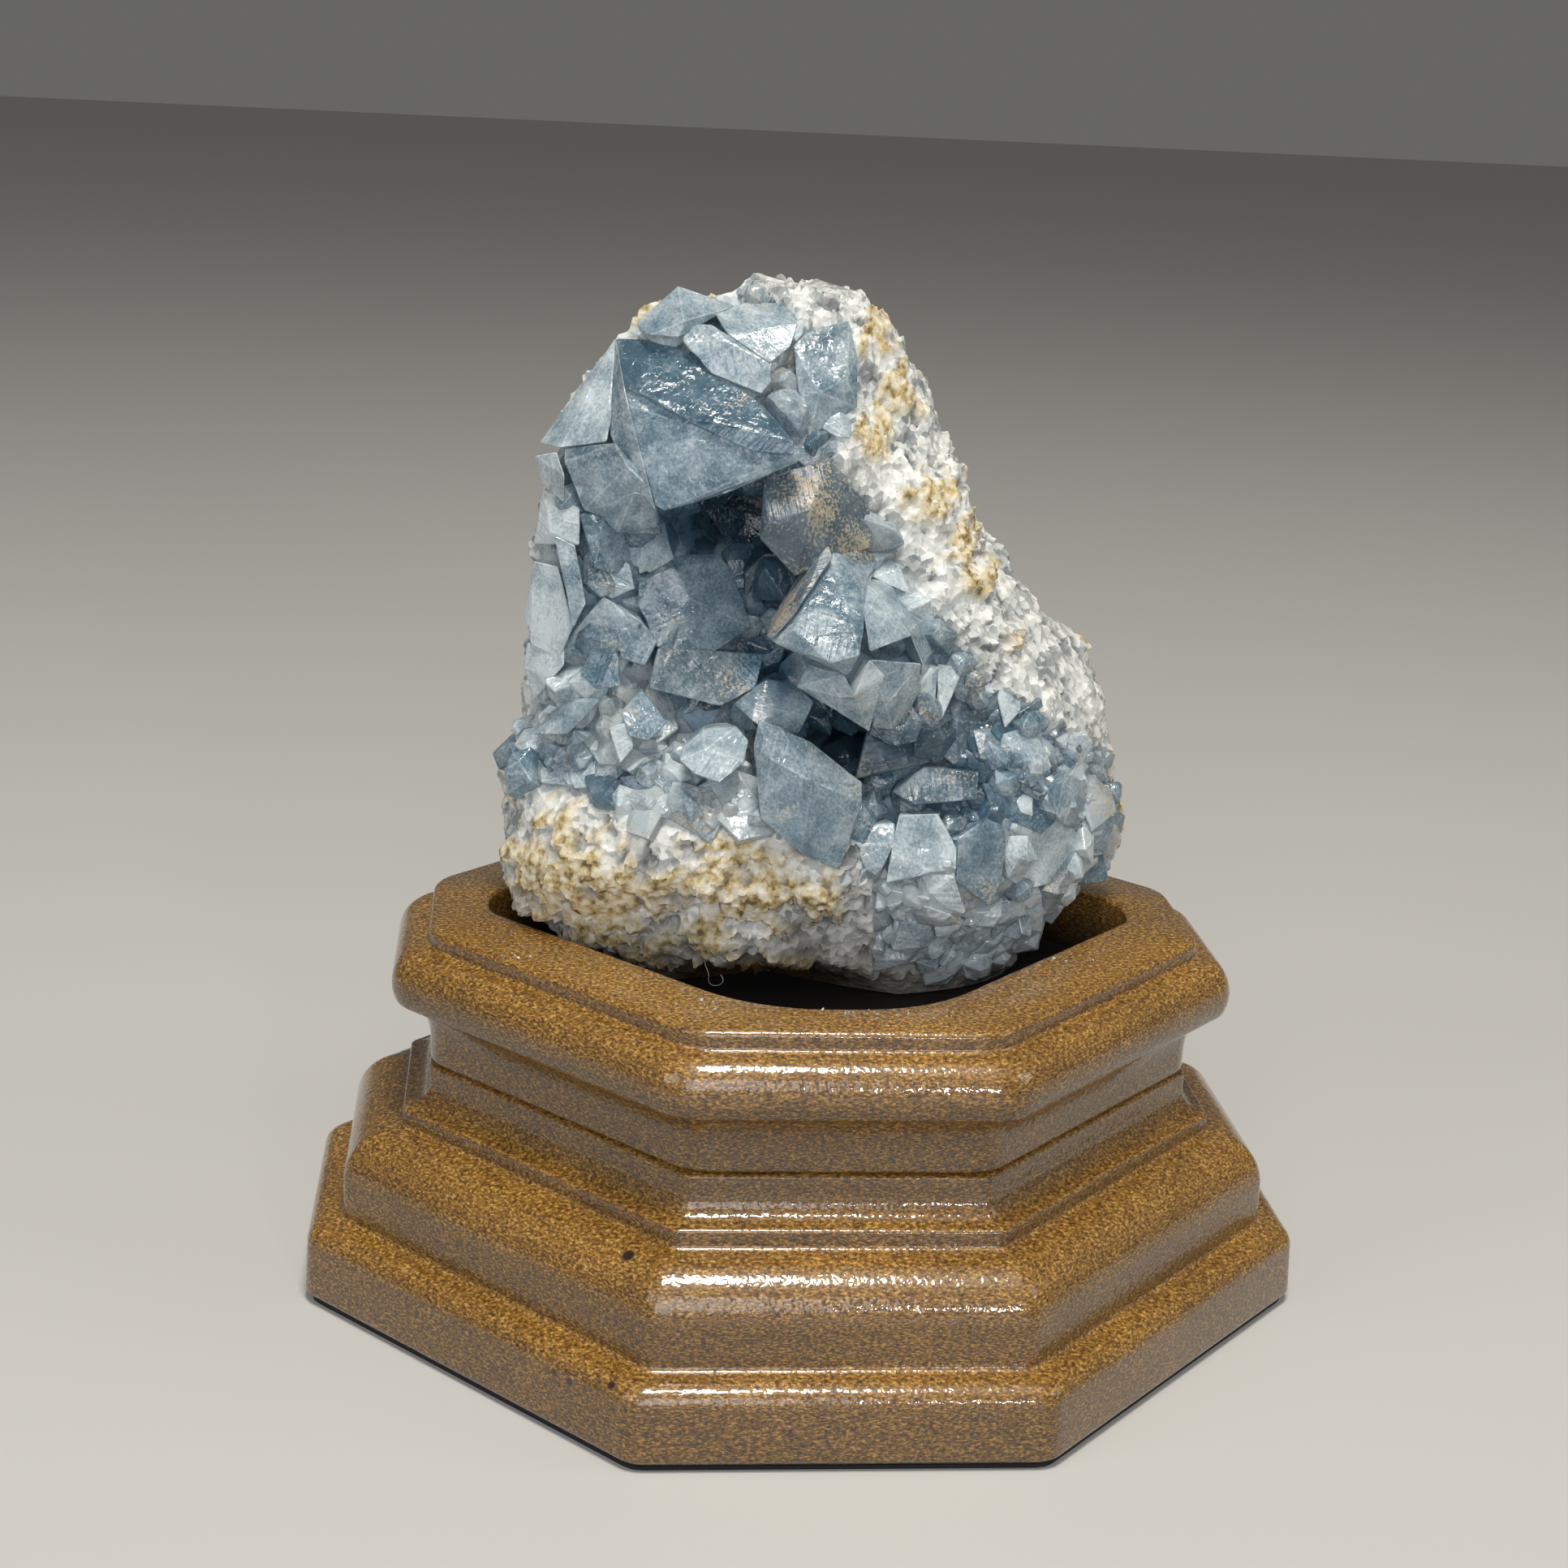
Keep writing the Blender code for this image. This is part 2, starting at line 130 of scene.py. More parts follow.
STAND_WIDTH = 130.0
STAND_DEPTH = 116.8
CORNER_CUT_X = 40.3
CORNER_CUT_Y = 42.0
SEAM_Z = 30.3
STAND_TOP = 48.6
CUT_LENGTH = math.hypot(CORNER_CUT_X, CORNER_CUT_Y)
CORNER_DISTANCE = (
    CORNER_CUT_Y * (STAND_WIDTH / 2 - CORNER_CUT_X) + CORNER_CUT_X * STAND_DEPTH / 2
) / CUT_LENGTH
CORNER_STEPS = 8
LEAST_CORNER_RADIUS = 1.4
LACQUER_REACH = 0.45


def bend(start, corner, end, steps):
    """Points on the short curve that takes a corner's place."""
    turns = [step / steps for step in range(steps + 1)]
    return [start * (1 - t) ** 2 + corner * 2 * t * (1 - t) + end * t * t for t in turns]


def cut_corner_plan(half_width, half_depth, corner_distance, side_radius, end_radius):
    """Outline of a rectangle with cut corners, rounded by a radius at sides and ends."""
    normal_x = CORNER_CUT_Y / CUT_LENGTH
    normal_y = CORNER_CUT_X / CUT_LENGTH
    end_x = (corner_distance - normal_y * half_depth) / normal_x
    side_y = (corner_distance - normal_x * half_width) / normal_y
    quarter = [(half_width, side_y), (end_x, half_depth)]
    half = quarter + [(-x, y) for x, y in reversed(quarter)]
    corners = [Vector(p) for p in half] + [-Vector(p) for p in half]
    outline = []
    for i, corner in enumerate(corners):
        to_last = (corners[i - 1] - corner).normalized()
        to_next = (corners[(i + 1) % 8] - corner).normalized()
        radius = side_radius if i % 4 in (0, 3) else end_radius
        reach = radius / math.tan(to_last.angle(to_next) / 2)
        outline += bend(corner + to_last * reach, corner, corner + to_next * reach, CORNER_STEPS)
    return outline


def arc(centre, radii, start, end, steps):
    """Points on an ellipse, angles in degrees from the outward direction upwards."""
    angles = [math.radians(start + (end - start) * i / steps) for i in range(steps + 1)]
    return [(centre[0] - radii[0] * math.cos(a), centre[1] + radii[1] * math.sin(a)) for a in angles]


def soften(profile, reach):
    """Cut each corner of a profile by a short curve, as lacquer does."""
    softened = [Vector(profile[0])]
    for last, here, after in zip(profile, profile[1:], profile[2:]):
        last, here, after = Vector(last), Vector(here), Vector(after)
        back, ahead = last - here, after - here
        near = min(reach, back.length * 0.45, ahead.length * 0.45)
        start = here + back.normalized() * near
        softened += bend(start, here, here + ahead.normalized() * near, 4)
    softened.append(Vector(profile[-1]))
    return softened


def stand_rings(profile, corner_radius, narrowing):
    """The stand's outline, moved in and up along a profile, its corners narrowing inwards."""
    rings = []
    for inset, height in soften(profile, LACQUER_REACH):
        radius = max(LEAST_CORNER_RADIUS, corner_radius - narrowing * inset)
        plan = cut_corner_plan(
            STAND_WIDTH / 2 - inset, STAND_DEPTH / 2 - inset, CORNER_DISTANCE - inset, radius, radius
        )
        rings.append([Vector((p.x, p.y, height)) for p in plan])
    return rings


def put(name, data):
    """A new object in the scene, made of a mesh, curve, light or camera."""
    item = bpy.data.objects.new(name, data)
    bpy.context.scene.collection.objects.link(item)
    return item


def piece_through(name, rings, sharp):
    """A closed piece through rings of equally many points, sharp above an angle in degrees."""
    count = len(rings[0])
    points = np.array([p for ring in rings for p in ring])
    faces = [tuple(reversed(range(count)))]
    for base in range(0, len(points) - count, count):
        for i in range(count):
            j = (i + 1) % count
            faces.append((base + i, base + j, base + count + j, base + count + i))
    faces.append(tuple(range(len(points) - count, len(points))))
    mesh = bpy.data.meshes.new(name)
    mesh.from_pydata((points * MM).tolist(), [], faces)
    mesh.shade_smooth()
    mesh.set_sharp_from_angle(angle=math.radians(sharp))
    return put(name, mesh)


# Edge of the lower board from the felt up: plinth, bead, ledge, ovolo, fillet and cove
NECK_INSET = 15.5
ARRIS = 50.0
profile = [(0.7, 0.8), (0.0, 1.5)]
profile += arc((2.9, 7.9), (2.6, 2.6), 0, 90, 12)
profile += [(4.4, 10.6), (4.8, 11.0)]
profile += arc((11.3, 15.9), (6.5, 6.5), 0, 90, 16)
profile += [(11.9, 22.5), (12.2, 22.8), (12.2, 24.6), (12.5, 24.9)]
for step in range(1, 11):
    turn = math.radians(9 * step)
    profile.append((12.5 + 3.0 * math.sin(turn), 24.9 + 2.9 * (1 - math.cos(turn))))
profile += [(NECK_INSET, SEAM_Z - 0.25), (NECK_INSET + 0.3, SEAM_Z)]
rings = stand_rings(profile, 4.2, 0.25)
lower_board = piece_through("lower_board", rings, ARRIS)
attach(lower_board, "root")
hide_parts("stand_lower_board")

# Edge of the upper board: neck, hollow, torus and top step, then the well's rim and wall
WELL_WIDTH = 84.6
WELL_FRONT_TO_BACK = 73.4
WELL_CORNER_DISTANCE = 32.8
WELL_CENTRE_Y = 1.5
WELL_FLOOR = 39.6
WELL_SIDE_RADIUS = 6.5
WELL_END_RADIUS = 21.0
WELL_EDGE = ((-0.8, 48.6), (-0.5, 48.55), (-0.15, 48.4), (0.0, 48.0), (0.0, 40.2), (0.6, WELL_FLOOR))
profile = [(NECK_INSET + 0.3, SEAM_Z + 0.3), (NECK_INSET, SEAM_Z + 0.6)]
for step in range(11):
    turn = math.radians(8.5 * step)
    profile.append((NECK_INSET - 3.1 * (1 - math.cos(turn)), 33.1 + 5.8 * math.sin(turn)))
profile.append((11.7, 39.0))
profile += arc((14.2, 41.6), (3.6, 4.5), -30, 90, 18)
profile += [(14.9, 46.2), (15.2, 46.5), (15.2, 48.1), (15.7, 48.6)]
rings = stand_rings(profile, 7.0, 0.0)
for inset, height in WELL_EDGE:
    plan = cut_corner_plan(
        WELL_WIDTH / 2 - inset, WELL_FRONT_TO_BACK / 2 - inset, WELL_CORNER_DISTANCE - inset,
        WELL_SIDE_RADIUS, WELL_END_RADIUS,
    )
    rings.append([Vector((p.x, p.y + WELL_CENTRE_Y, height)) for p in plan])
upper_board = piece_through("upper_board", rings, ARRIS)
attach(upper_board, "root")
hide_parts("stand_upper_board")
# The last two rings lie at the well's floor, which takes the second material
point_count = len(upper_board.data.vertices)
floor_start = point_count - 2 * len(rings[0])
# The well mark runs from 0 at the top of the wall to 1 at the floor, so the board darkens down the wall:
# painted shade in the well
layer = upper_board.data.attributes.new("well", "FLOAT", "POINT")
layer.data.foreach_set("value", [float(i >= floor_start) for i in range(point_count)])
for face in upper_board.data.polygons:
    if min(face.vertices) >= floor_start:
        face.material_index = 1

# Fibreboard under gloss lacquer. Bundles of fibres about half a millimetre long lie flat in
# the sheet, so faces show short blotches and routed edges show level streaks, with a few dark
# bark flecks. The lacquer gives a sharp gloss over a slightly raised grain.
FIBRE_LENGTH = 0.5
FIBRE_THICKNESS = 0.22
CLOUD_WIDTH = 14.0
FLECK_SPACING = 2.6
PEEL_WIDTH = 1.6
BEAD_WIDTH = 0.8
# The largest bark specks: place and reach
BARK_SPECKS = (
    ((-24.9, -46.2, 21.6), 0.75), ((-26.8, -54.9, 9.6), 0.5),
    ((-31.5, -50.9, 7.8), 0.5), ((-33.3, -49.0, 8.0), 0.4),
)
board_material, tree, shader, place = start_material("lacquered_fibreboard")
stretch = (1 / (FIBRE_LENGTH * MM), 1 / (FIBRE_LENGTH * MM), 1 / (FIBRE_THICKNESS * MM))
along_sheet = add(tree, "Mapping", {"Vector": place, "Scale": stretch})
fibres = add(tree, "TexNoise", {
    "Vector": along_sheet, "Scale": 1.0, "Detail": 4.0, "Roughness": 0.65,
})
cloud = add(tree, "TexNoise", width=CLOUD_WIDTH)
# Faces turned sideways or down take the darker ramp and faces turned up the lighter one: painted shade and
# painted light, as the light falls from above
normal = add(tree, "NewGeometry").outputs["Normal"]
upward = add(tree, "SeparateXYZ", {"Vector": normal}).outputs["Z"]
facing_the_light = add(tree, "MapRange", {"Value": upward}, span=(-0.2, 0.8))
side_painted_shade = add(tree, "ValToRGB", {"Fac": fibres}, stops=(
    (0.37, "#1A0F03"), (0.46, "#442B08"), (0.55, "#684916"), (0.65, "#9C742F"),
))
top_painted_light = add(tree, "ValToRGB", {"Fac": fibres}, stops=(
    (0.35, "#362108"), (0.45, "#6C4916"), (0.55, "#8F6826"), (0.66, "#C69E55"),
))
shade = add(tree, "MixRGB", {"Fac": facing_the_light, "Color1": side_painted_shade, "Color2": top_painted_light})
shade = add(tree, "MixRGB", {"Fac": 0.35, "Color1": shade, "Color2": cloud}, blend_type="OVERLAY")
flecks = add(tree, "TexVoronoi", width=FLECK_SPACING)
fleck_here = add(tree, "MapRange", {"Value": flecks}, span=(0.13, 0.06))
fleck_rare = add(tree, "Math", {0: flecks.outputs["Color"], 1: 0.82}, operation="GREATER_THAN")
fleck = add(tree, "Math", {0: fleck_here, 1: fleck_rare}, operation="MULTIPLY")
# well: painted shade, darkening the well's wall towards its floor
well = add(tree, "Attribute", attribute_name="well").outputs["Fac"]
coverings = [(fleck, "#2A1A0C"), (well, "#120C07")]
for spot, reach in BARK_SPECKS:
    away = add(tree, "VectorMath", {0: place, 1: Vector(spot) * MM}, operation="DISTANCE")
    ragged = add(tree, "Math", {0: fibres, 1: -0.8 * MM, 2: away}, operation="MULTIPLY_ADD")
    speck = add(tree, "MapRange", {"Value": ragged}, span=((reach - 0.3) * MM, (reach - 0.55) * MM))
    coverings.append((speck, "#1E0E08"))
for amount, colour in coverings:
    shade = add(tree, "MixRGB", {"Fac": amount, "Color1": shade, "Color2": colour})
grain = add(tree, "Bump", {"Height": fibres, "Strength": 0.35, "Distance": 0.06 * MM})
peel = add(tree, "TexNoise", width=PEEL_WIDTH)
beads = add(tree, "TexNoise", {"Detail": 1.0}, width=BEAD_WIDTH)
beaded = add(tree, "Bump", {"Height": beads, "Strength": 0.7, "Distance": 0.1 * MM})
gloss = add(tree, "Bump", {
    "Height": peel, "Strength": 0.25, "Distance": 0.08 * MM, "Normal": beaded,
})
feed(tree, shader, {
    "Base Color": shade, "Normal": grain, "Coat Normal": gloss, "Roughness": 0.45,
    "Coat Weight": 1.0, "Coat Roughness": 0.04, "Coat IOR": 1.5,
})

# The well's floor is painted near black as painted shadow deep in the well: dull bare board, with raised
# fibres
well_floor_shadow_material, tree, shader, _ = start_material("well_floor_painted_black_shadow")
fibres = add(tree, "TexNoise", {"Detail": 3.0}, width=FIBRE_LENGTH)
shade = add(tree, "MixRGB", {"Fac": fibres, "Color1": "#0E0A08", "Color2": "#251C15"})
fuzz = add(tree, "Bump", {"Height": fibres, "Strength": 0.5, "Distance": 0.08 * MM})
feed(tree, shader, {"Base Color": shade, "Normal": fuzz, "Roughness": 0.85})
lower_board.data.materials.append(board_material)
upper_board.data.materials.append(board_material)
upper_board.data.materials.append(well_floor_shadow_material)


# Geode rind: the outer wall of the geode, a crust of sugary celestite and clay grown as one
# piece with the crystals' bed. It is granular and pitted, chalky white with ochre clay.
# Under the crystals it follows the hollow as a bluish bed.

SPECIMEN_FOOT = 39.9
LUMP_CENTRE = Vector((-2.0, 3.0, SPECIMEN_FOOT + 45.0))
# Outline at a few heights above the foot: height, left, right, front, back
OUTLINE_STATIONS = np.array((
    (0, -27, 27, -8, 19),
    (4, -33, 31, -13.5, 22),
    (9, -38.6, 35.4, -18, 24.5),
    (18, -42.4, 39.6, -21.5, 27),
    (30, -39.8, 39, -20.5, 27),
    (39, -38.4, 36, -18, 26),
    (50, -38, 28, -15, 24),
    (60, -37.6, 20.5, -12.5, 21),
    (71, -35, 14.2, -9.5, 17.5),
    (79.5, -29, 11.2, -6, 14.5),
    (86.2, -21, 7.5, -2.5, 11.5),
    (89.8, -9, 2.5, 1.5, 8),
))
SPECIMEN_HEIGHT = OUTLINE_STATIONS[-1][0]
# Where crystals give way to rind, seen from the front: x and z around the field
CRYSTAL_EDGE = (
    (-11.7, 130.3), (-4, 126.2), (0.7, 121.5), (-1.2, 110.6), (4.6, 104.8), (9.7, 94.8),
    (16.4, 87.5), (20.9, 83), (27.5, 78.5), (36.7, 72), (46, 66), (46, 52),
    (36, 43.5), (20.5, 42), (6.5, 43.4), (5.4, 54.5), (3.4, 63.2), (-1.8, 63.2),
    (-9, 65.5), (-17.3, 64.5), (-26.6, 65.5), (-33.8, 67), (-38.7, 66), (-48, 66),
    (-48, 100), (-42, 116), (-32, 128), (-22, 134),
)
# Hollows that stay open between the crystals: centre and radii
OPEN_HOLLOWS = (
    ((-13, -21, 89), (23, 20, 22)),
    ((11, -25, 71), (15, 16, 9)),
    ((-11.5, -20, 100), (10.5, 31, 8)),
    ((2.5, -22, 73.5), (6.5, 26, 6)),
)
# Places where hardly any light comes in: x, z, reach in x and z
DARK_HOLES = (
    (-14.5, 101.8, 8.5, 6), (-7.5, 96, 5.5, 7), (1.5, 74.5, 6.5, 5.5),
    (13.5, 65.6, 6, 2), (-8, 83, 4, 3),
)
# The low arch under the front and the brown painted shadow around it: x, z, reach in x and z
ARCH = (-6.0, 40.0, 17.0, 7.5)
ARCH_DEPTH = 9.0
ARCH_SHADOW = (-7.0, 41.0, 15.0, 8.0)
# Large crystals: how frosted (0 clear to 1 white), then the corners that show
LARGE_CRYSTALS = {
    "roof_band": (0.1, ((-28, 0, 122.5), (-24.5, 0, 122.5), (-20.5, -3, 122), (-14.5, -8, 118),
        (-10.5, -11, 116.5), (-7, -16, 113), (-27, -7, 117.5), (-24.5, -9, 117), (-20.5, -11.5, 115),
        (-16, -13.5, 113), (-11.5, -15.5, 111.5), (-7, -16.5, 111.5))),
    "roof_face": (0.4, ((-27, -6.5, 117.5), (-16, -13, 113), (-7, -16, 111.5), (-23, -12, 104),
        (-22, -12.5, 103.5), (-18.5, -13, 105.5), (-14.5, -13, 106), (-10.5, -14, 108.5),
        (-6.5, -16, 110.5), (-5.5, -15, 112), (-26.5, -8, 115.5), (-25, -10, 110))),
    "roof_rib": (0.5, ((-28, 0, 122.5), (-29, -2, 116.5), (-28.5, -4, 115), (-27, -7, 117.5),
        (-26.5, -8.5, 115.5), (-25, -10.5, 110), (-23, -12.5, 103.5), (-25.5, -10.5, 106),
        (-28.5, -7, 111.5))),
    "roof_rim": (0.9, ((-17, -13.5, 107), (-14, -14, 108), (-11, -14.5, 109), (-12, -14, 107.5),
        (-15, -13.5, 106))),
    "roof_fan": (0.75, ((-28, 0, 122.5), (-31, 1, 118), (-34.5, 0, 112.5), (-37, -1, 109.5),
        (-34.5, -5, 109.5), (-29, -8, 111), (-28.5, -6, 113), (-29.5, -3, 117.5))),
    "left_tip": (0.7, ((-37.5, -2, 108), (-35, -5, 109), (-34, -7, 106.5), (-34, -6, 103),
        (-36.5, -3, 104.5))),
    "left_shelf": (0.45, ((-34, -5, 109.5), (-28, -9, 111), (-26.5, -10.5, 108.5), (-23, -11.5, 105.5),
        (-22.5, -10, 101), (-25, -9, 100.5), (-31.5, -8, 102.5), (-34, -6, 108))),
    "under_roof": (0.35, ((-25.5, -11, 105.5), (-23, -11, 105), (-22, -9, 100), (-27.5, -9, 100),
        (-30, -8, 102.5))),
    "top_left": (0.6, ((-25.5, -1, 124.5), (-25, -2, 123.5), (-20.5, 1, 129), (-18, 0, 128),
        (-13.5, 0, 127), (-20, -5, 125.5), (-20.5, -5, 123.5), (-24, -4, 123.5))),
    "top_clear": (0.6, ((-20, -3, 125), (-16.5, -4, 125), (-15, -6, 123.5), (-9.5, -8, 121),
        (-9.5, -9, 119), (-10.5, -9, 117.5), (-16.5, -7, 119.5), (-20, -5, 123))),
    "top_right": (0.65, ((-13.5, 0, 127), (-12, 0, 127.5), (-7, -1, 127.5), (-6, -4, 125.5), (-7, -6, 123),
        (-9.5, -7, 121), (-14.5, -5, 124), (-16, -2, 126))),
    "block": (0.5, ((-6.5, -5, 123), (-5, -4, 124.5), (0.5, -2, 126), (1.5, -4, 122), (0, -7, 119.5),
        (1.5, -7, 116), (-4.5, -9, 112.5), (-6, -8, 118), (-3.5, -9, 118))),
    "dusty": (0.2, ((-10, -12, 107.5), (-6.5, -11.5, 109), (-2, -10, 110), (0, -10.5, 108), (3, -9, 104.5),
        (4, -9, 102.5), (3.5, -11, 99.5), (-1.5, -13, 98), (-6, -15, 96.5), (-10.5, -15, 101),
        (-9.5, -15.5, 103), (-4.5, -15.5, 105), (-1.5, -14, 103.5))),
    "centre": (0.45, ((-1.5, -12, 100), (-9.5, -19, 90), (-9, -20, 89.5), (-6.5, -20, 92.5),
        (-1.5, -14, 98.5), (-6.5, -22, 91.5), (-2.5, -25.5, 88.5), (1, -25.5, 89.5), (2, -20.5, 93),
        (2, -17, 95.5), (0.5, -15.5, 97), (0, -24, 86.5), (4.5, -9, 98), (3, -12.5, 96))),
    "centre_strip": (0.5, ((-2, -13, 100.5), (-1.5, -15, 99), (-6.5, -21, 93), (-9, -21, 90),
        (-9.5, -20, 90))),
    "centre_cap": (0.4, ((-2, -12.5, 100.5), (1.5, -11.5, 100), (4.5, -9.5, 98), (3, -13, 96),
        (-0.5, -14.5, 97))),
    "centre_right": (0.65, ((1.5, -13, 96.5), (4, -17, 95), (7.5, -19, 91), (8, -19.5, 90.5),
        (2.5, -24, 89.5), (2, -21, 93), (7, -8, 94.5))),
    "centre_wing": (0.55, ((5, -12, 94.5), (11, -10, 91), (13, -10, 87.5), (12, -12, 83.5),
        (10.5, -14, 83), (10, -17, 86.5), (8, -17, 90.5))),
    "centre_low_left": (0.65, ((-4, -17, 86), (-5.5, -18, 83.5), (-0.5, -20, 81), (-0.5, -22.5, 83.5),
        (1, -23.5, 84), (-0.5, -23.5, 86.5))),
    "centre_low": (0.75, ((1, -23.5, 84), (-0.5, -22, 83), (-0.5, -20, 81), (1.5, -19.5, 80),
        (3.5, -19.5, 78.5), (4.5, -23.5, 86.5), (2.5, -24, 88.5))),
    "centre_low_right": (0.5, ((2.5, -24, 88.5), (9.5, -19, 87), (10, -17.5, 83.5), (8, -17.5, 79.5),
        (6.5, -18.5, 78.5), (4, -19.5, 79), (5, -22, 82.5))),
    "wall_big": (0.4, ((-24.5, -5, 94.5), (-21, -5, 96.5), (-14.5, -2, 96.5), (-12.5, -2, 94),
        (-10, -4, 87.5), (-16, -7, 84), (-22, -8, 85.5), (-24.5, -7, 90.5), (-18, -6.5, 91.5))),
    "wall_small": (0.38, ((-27, -9, 88), (-24.5, -8, 89.5), (-22, -8.5, 86.5), (-23.5, -9.5, 83.5),
        (-26.5, -10, 84.5))),
    "wall_upper": (0.28, ((-32, -8, 102), (-29, -8, 102.5), (-24.5, -6, 99.5), (-24.5, -6, 93.5),
        (-30, -8.5, 95.5), (-28.5, -6, 98.5))),
    "wall_join": (0.5, ((-25, -6, 99), (-22, -6, 100), (-19.5, -5, 96.5), (-22, -5, 95.5),
        (-24.5, -7, 94.5))),
    "wall_low": (0.35, ((-22, -8, 85.5), (-15.5, -7, 84), (-8.5, -6, 84.5), (-9.5, -9, 81), (-14, -11, 79),
        (-23, -11, 81))),
    "wall_round": (0.45, ((-12.5, -12, 79.5), (-8.5, -11, 82.5), (-5, -11, 82), (-2.5, -12, 80),
        (-4.5, -14, 76.5), (-9.5, -15, 77.5))),
    "left_rim_top": (0.95, ((-36.5, -2, 104), (-34, -4.5, 103.5), (-32, -7, 102.5), (-32, -7.5, 98),
        (-35.5, -5.5, 99), (-37.5, -2, 97))),
    "left_rim_blade": (0.55, ((-35, -6.5, 99), (-32.5, -7.5, 98), (-31, -9, 91), (-32.5, -9, 88),
        (-34, -7.5, 92.5))),
    "left_rim_chunk": (0.9, ((-37.5, -3, 95), (-34.5, -6, 95), (-32.5, -8, 88), (-34, -7, 83.5),
        (-37.5, -4, 84.5), (-38.5, -2, 87.5))),
    "left_rim_low": (0.9, ((-38, -3, 84.5), (-33.5, -7, 85), (-33.5, -8, 83), (-35, -7, 81),
        (-37, -4, 77.5), (-38.5, -3, 81.5))),
    "wall_foot": (0.3, ((-30.5, -9, 84.5), (-27, -11, 85.5), (-26.5, -12, 81.5), (-29.5, -12, 81),
        (-31.5, -10, 82.5))),
    "shard_clear": (0.5, ((-24, -14, 81.5), (-22, -15.5, 79.5), (-21, -16, 78), (-23, -17, 76),
        (-25.5, -17, 76.5), (-26.5, -15, 79))),
    "shard_left": (0.6, ((-37.5, -8, 74), (-32, -10, 79), (-29, -13, 80), (-33, -13, 75.5))),
    "shard_low": (0.85, ((-28, -15, 77), (-25.5, -16, 78), (-25, -17, 75), (-26.5, -17, 73))),
    "dotted": (0.75, ((-19, -18, 75.5), (-16.5, -17, 77.5), (-12.5, -17, 78), (-11, -18, 76.5),
        (-11.5, -20, 74.5), (-14.5, -21, 72), (-17.5, -21, 73), (-19.5, -20, 74.5), (-16.5, -20.5, 76))),
    "apex": (0.4, ((-10, -19, 79.5), (-7.5, -20, 79), (-3.5, -20, 77), (3, -20, 72), (3, -21, 70),
        (2, -22, 68), (0.5, -22.5, 61.5), (-4.5, -23.5, 64), (-9.5, -22.5, 68), (-10.5, -20, 76.5),
        (-8.5, -22, 75.5), (-3.5, -23, 73))),
    "hole_shelf": (0.2, ((4.5, -11, 76.5), (8.5, -11, 76.5), (12.5, -13, 73), (7, -14, 72),
        (3, -13, 70.5))),
    "hole_wall": (0.1, ((12, -9, 82), (17, -9, 83), (21, -11, 77.5), (15.5, -13, 72.5), (12.5, -12, 74.5),
        (15.5, -12, 78))),
    "glitter": (0.35, ((7.5, -15, 69.5), (11.5, -14, 72.5), (18.5, -14, 72), (18, -16, 69),
        (10, -17, 68.5))),
    "dark_right": (0.15, ((19, -14, 70.5), (25.5, -12, 70), (29.5, -12, 65.5), (27, -14, 64),
        (20, -16, 67.5))),
    "curtain_left": (0.8, ((12.5, -13, 85.5), (16, -12, 85), (14, -14, 81.5), (13, -15, 78.5),
        (12.5, -14, 80.5))),
    "curtain_right": (0.85, ((21, -11, 83.5), (24, -10, 82.5), (23.5, -12, 79.5), (21.5, -13, 77.5),
        (20.5, -12, 81))),
    "rim_plate": (0.85, ((4, -9, 95.5), (7, -6, 98.5), (13.5, -5, 96), (9, -10, 93.5), (7.5, -9, 96.5))),
    "rim_small": (0.85, ((11.5, -8, 94.5), (15.5, -7, 93), (12.5, -9, 90))),
    "low_glint": (0.7, ((2.5, -18.5, 66), (7.5, -18.5, 66.5), (7.5, -20, 64.5), (5.5, -20.5, 60),
        (4, -20.5, 61), (2.5, -20, 64))),
    "low_clear": (0.75, ((8, -18.5, 67.5), (13, -17.5, 67.5), (15.5, -18.5, 63.5), (15.5, -19.5, 61),
        (12.5, -20.5, 61), (6.5, -21, 59.5), (7, -20.5, 63.5))),
    "low_dark": (0.45, ((15.5, -19, 65), (19.5, -17, 67), (22, -17, 65.5), (21.5, -18, 59), (20, -19, 56),
        (15.5, -20, 59.5))),
    "low_right": (0.8, ((23, -14.5, 64.5), (32, -8.5, 65), (33, -8.5, 61), (31.5, -10.5, 57),
        (25.5, -14, 56.5), (22.5, -15.5, 62))),
    "jutting": (0.3, ((33.5, -5, 57), (37.5, -2, 59.5), (39, -2, 54), (35.5, -4, 54))),
}
LARGE_CRYSTAL_BACK = 5.0


def with_back(corners):
    """The corners that show, and narrower ones behind them in the wall."""
    middle = sum((Vector(c) for c in corners), Vector()) / len(corners)
    behind = []
    for corner in corners:
        shrunk = middle + (Vector(corner) - middle) * 0.75
        behind.append(shrunk + Vector((0.0, LARGE_CRYSTAL_BACK, 0.0)))
    return [Vector(c) for c in corners] + behind


def hull_of(corners):
    """A bmesh of the convex solid through the corners."""
    bm = bmesh.new()
    for corner in corners:
        bm.verts.new(corner)
    bmesh.ops.convex_hull(bm, input=bm.verts)
    bmesh.ops.delete(bm, geom=[v for v in bm.verts if not v.link_faces], context="VERTS")
    return bm


def joined_hulls(corner_sets):
    """Points and faces of the convex solids through several sets of corners."""
    points, faces = [], []
    for corners in corner_sets:
        bm = hull_of(corners)
        bm.verts.index_update()
        first = len(points)
        points += [v.co.copy() for v in bm.verts]
        faces += [tuple(first + v.index for v in f.verts) for f in bm.faces]
        bm.free()
    return points, faces


large_fronts = BVHTree.FromPolygons(
    *joined_hulls(with_back(corners) for frost, corners in LARGE_CRYSTALS.values())
)


def large_front(x, z):
    """Y where a large crystal is met from the front, or nothing."""
    hit = large_fronts.ray_cast(Vector((x, -80.0, z)), Vector((0.0, 1.0, 0.0)))[0]
    return hit.y if hit else None


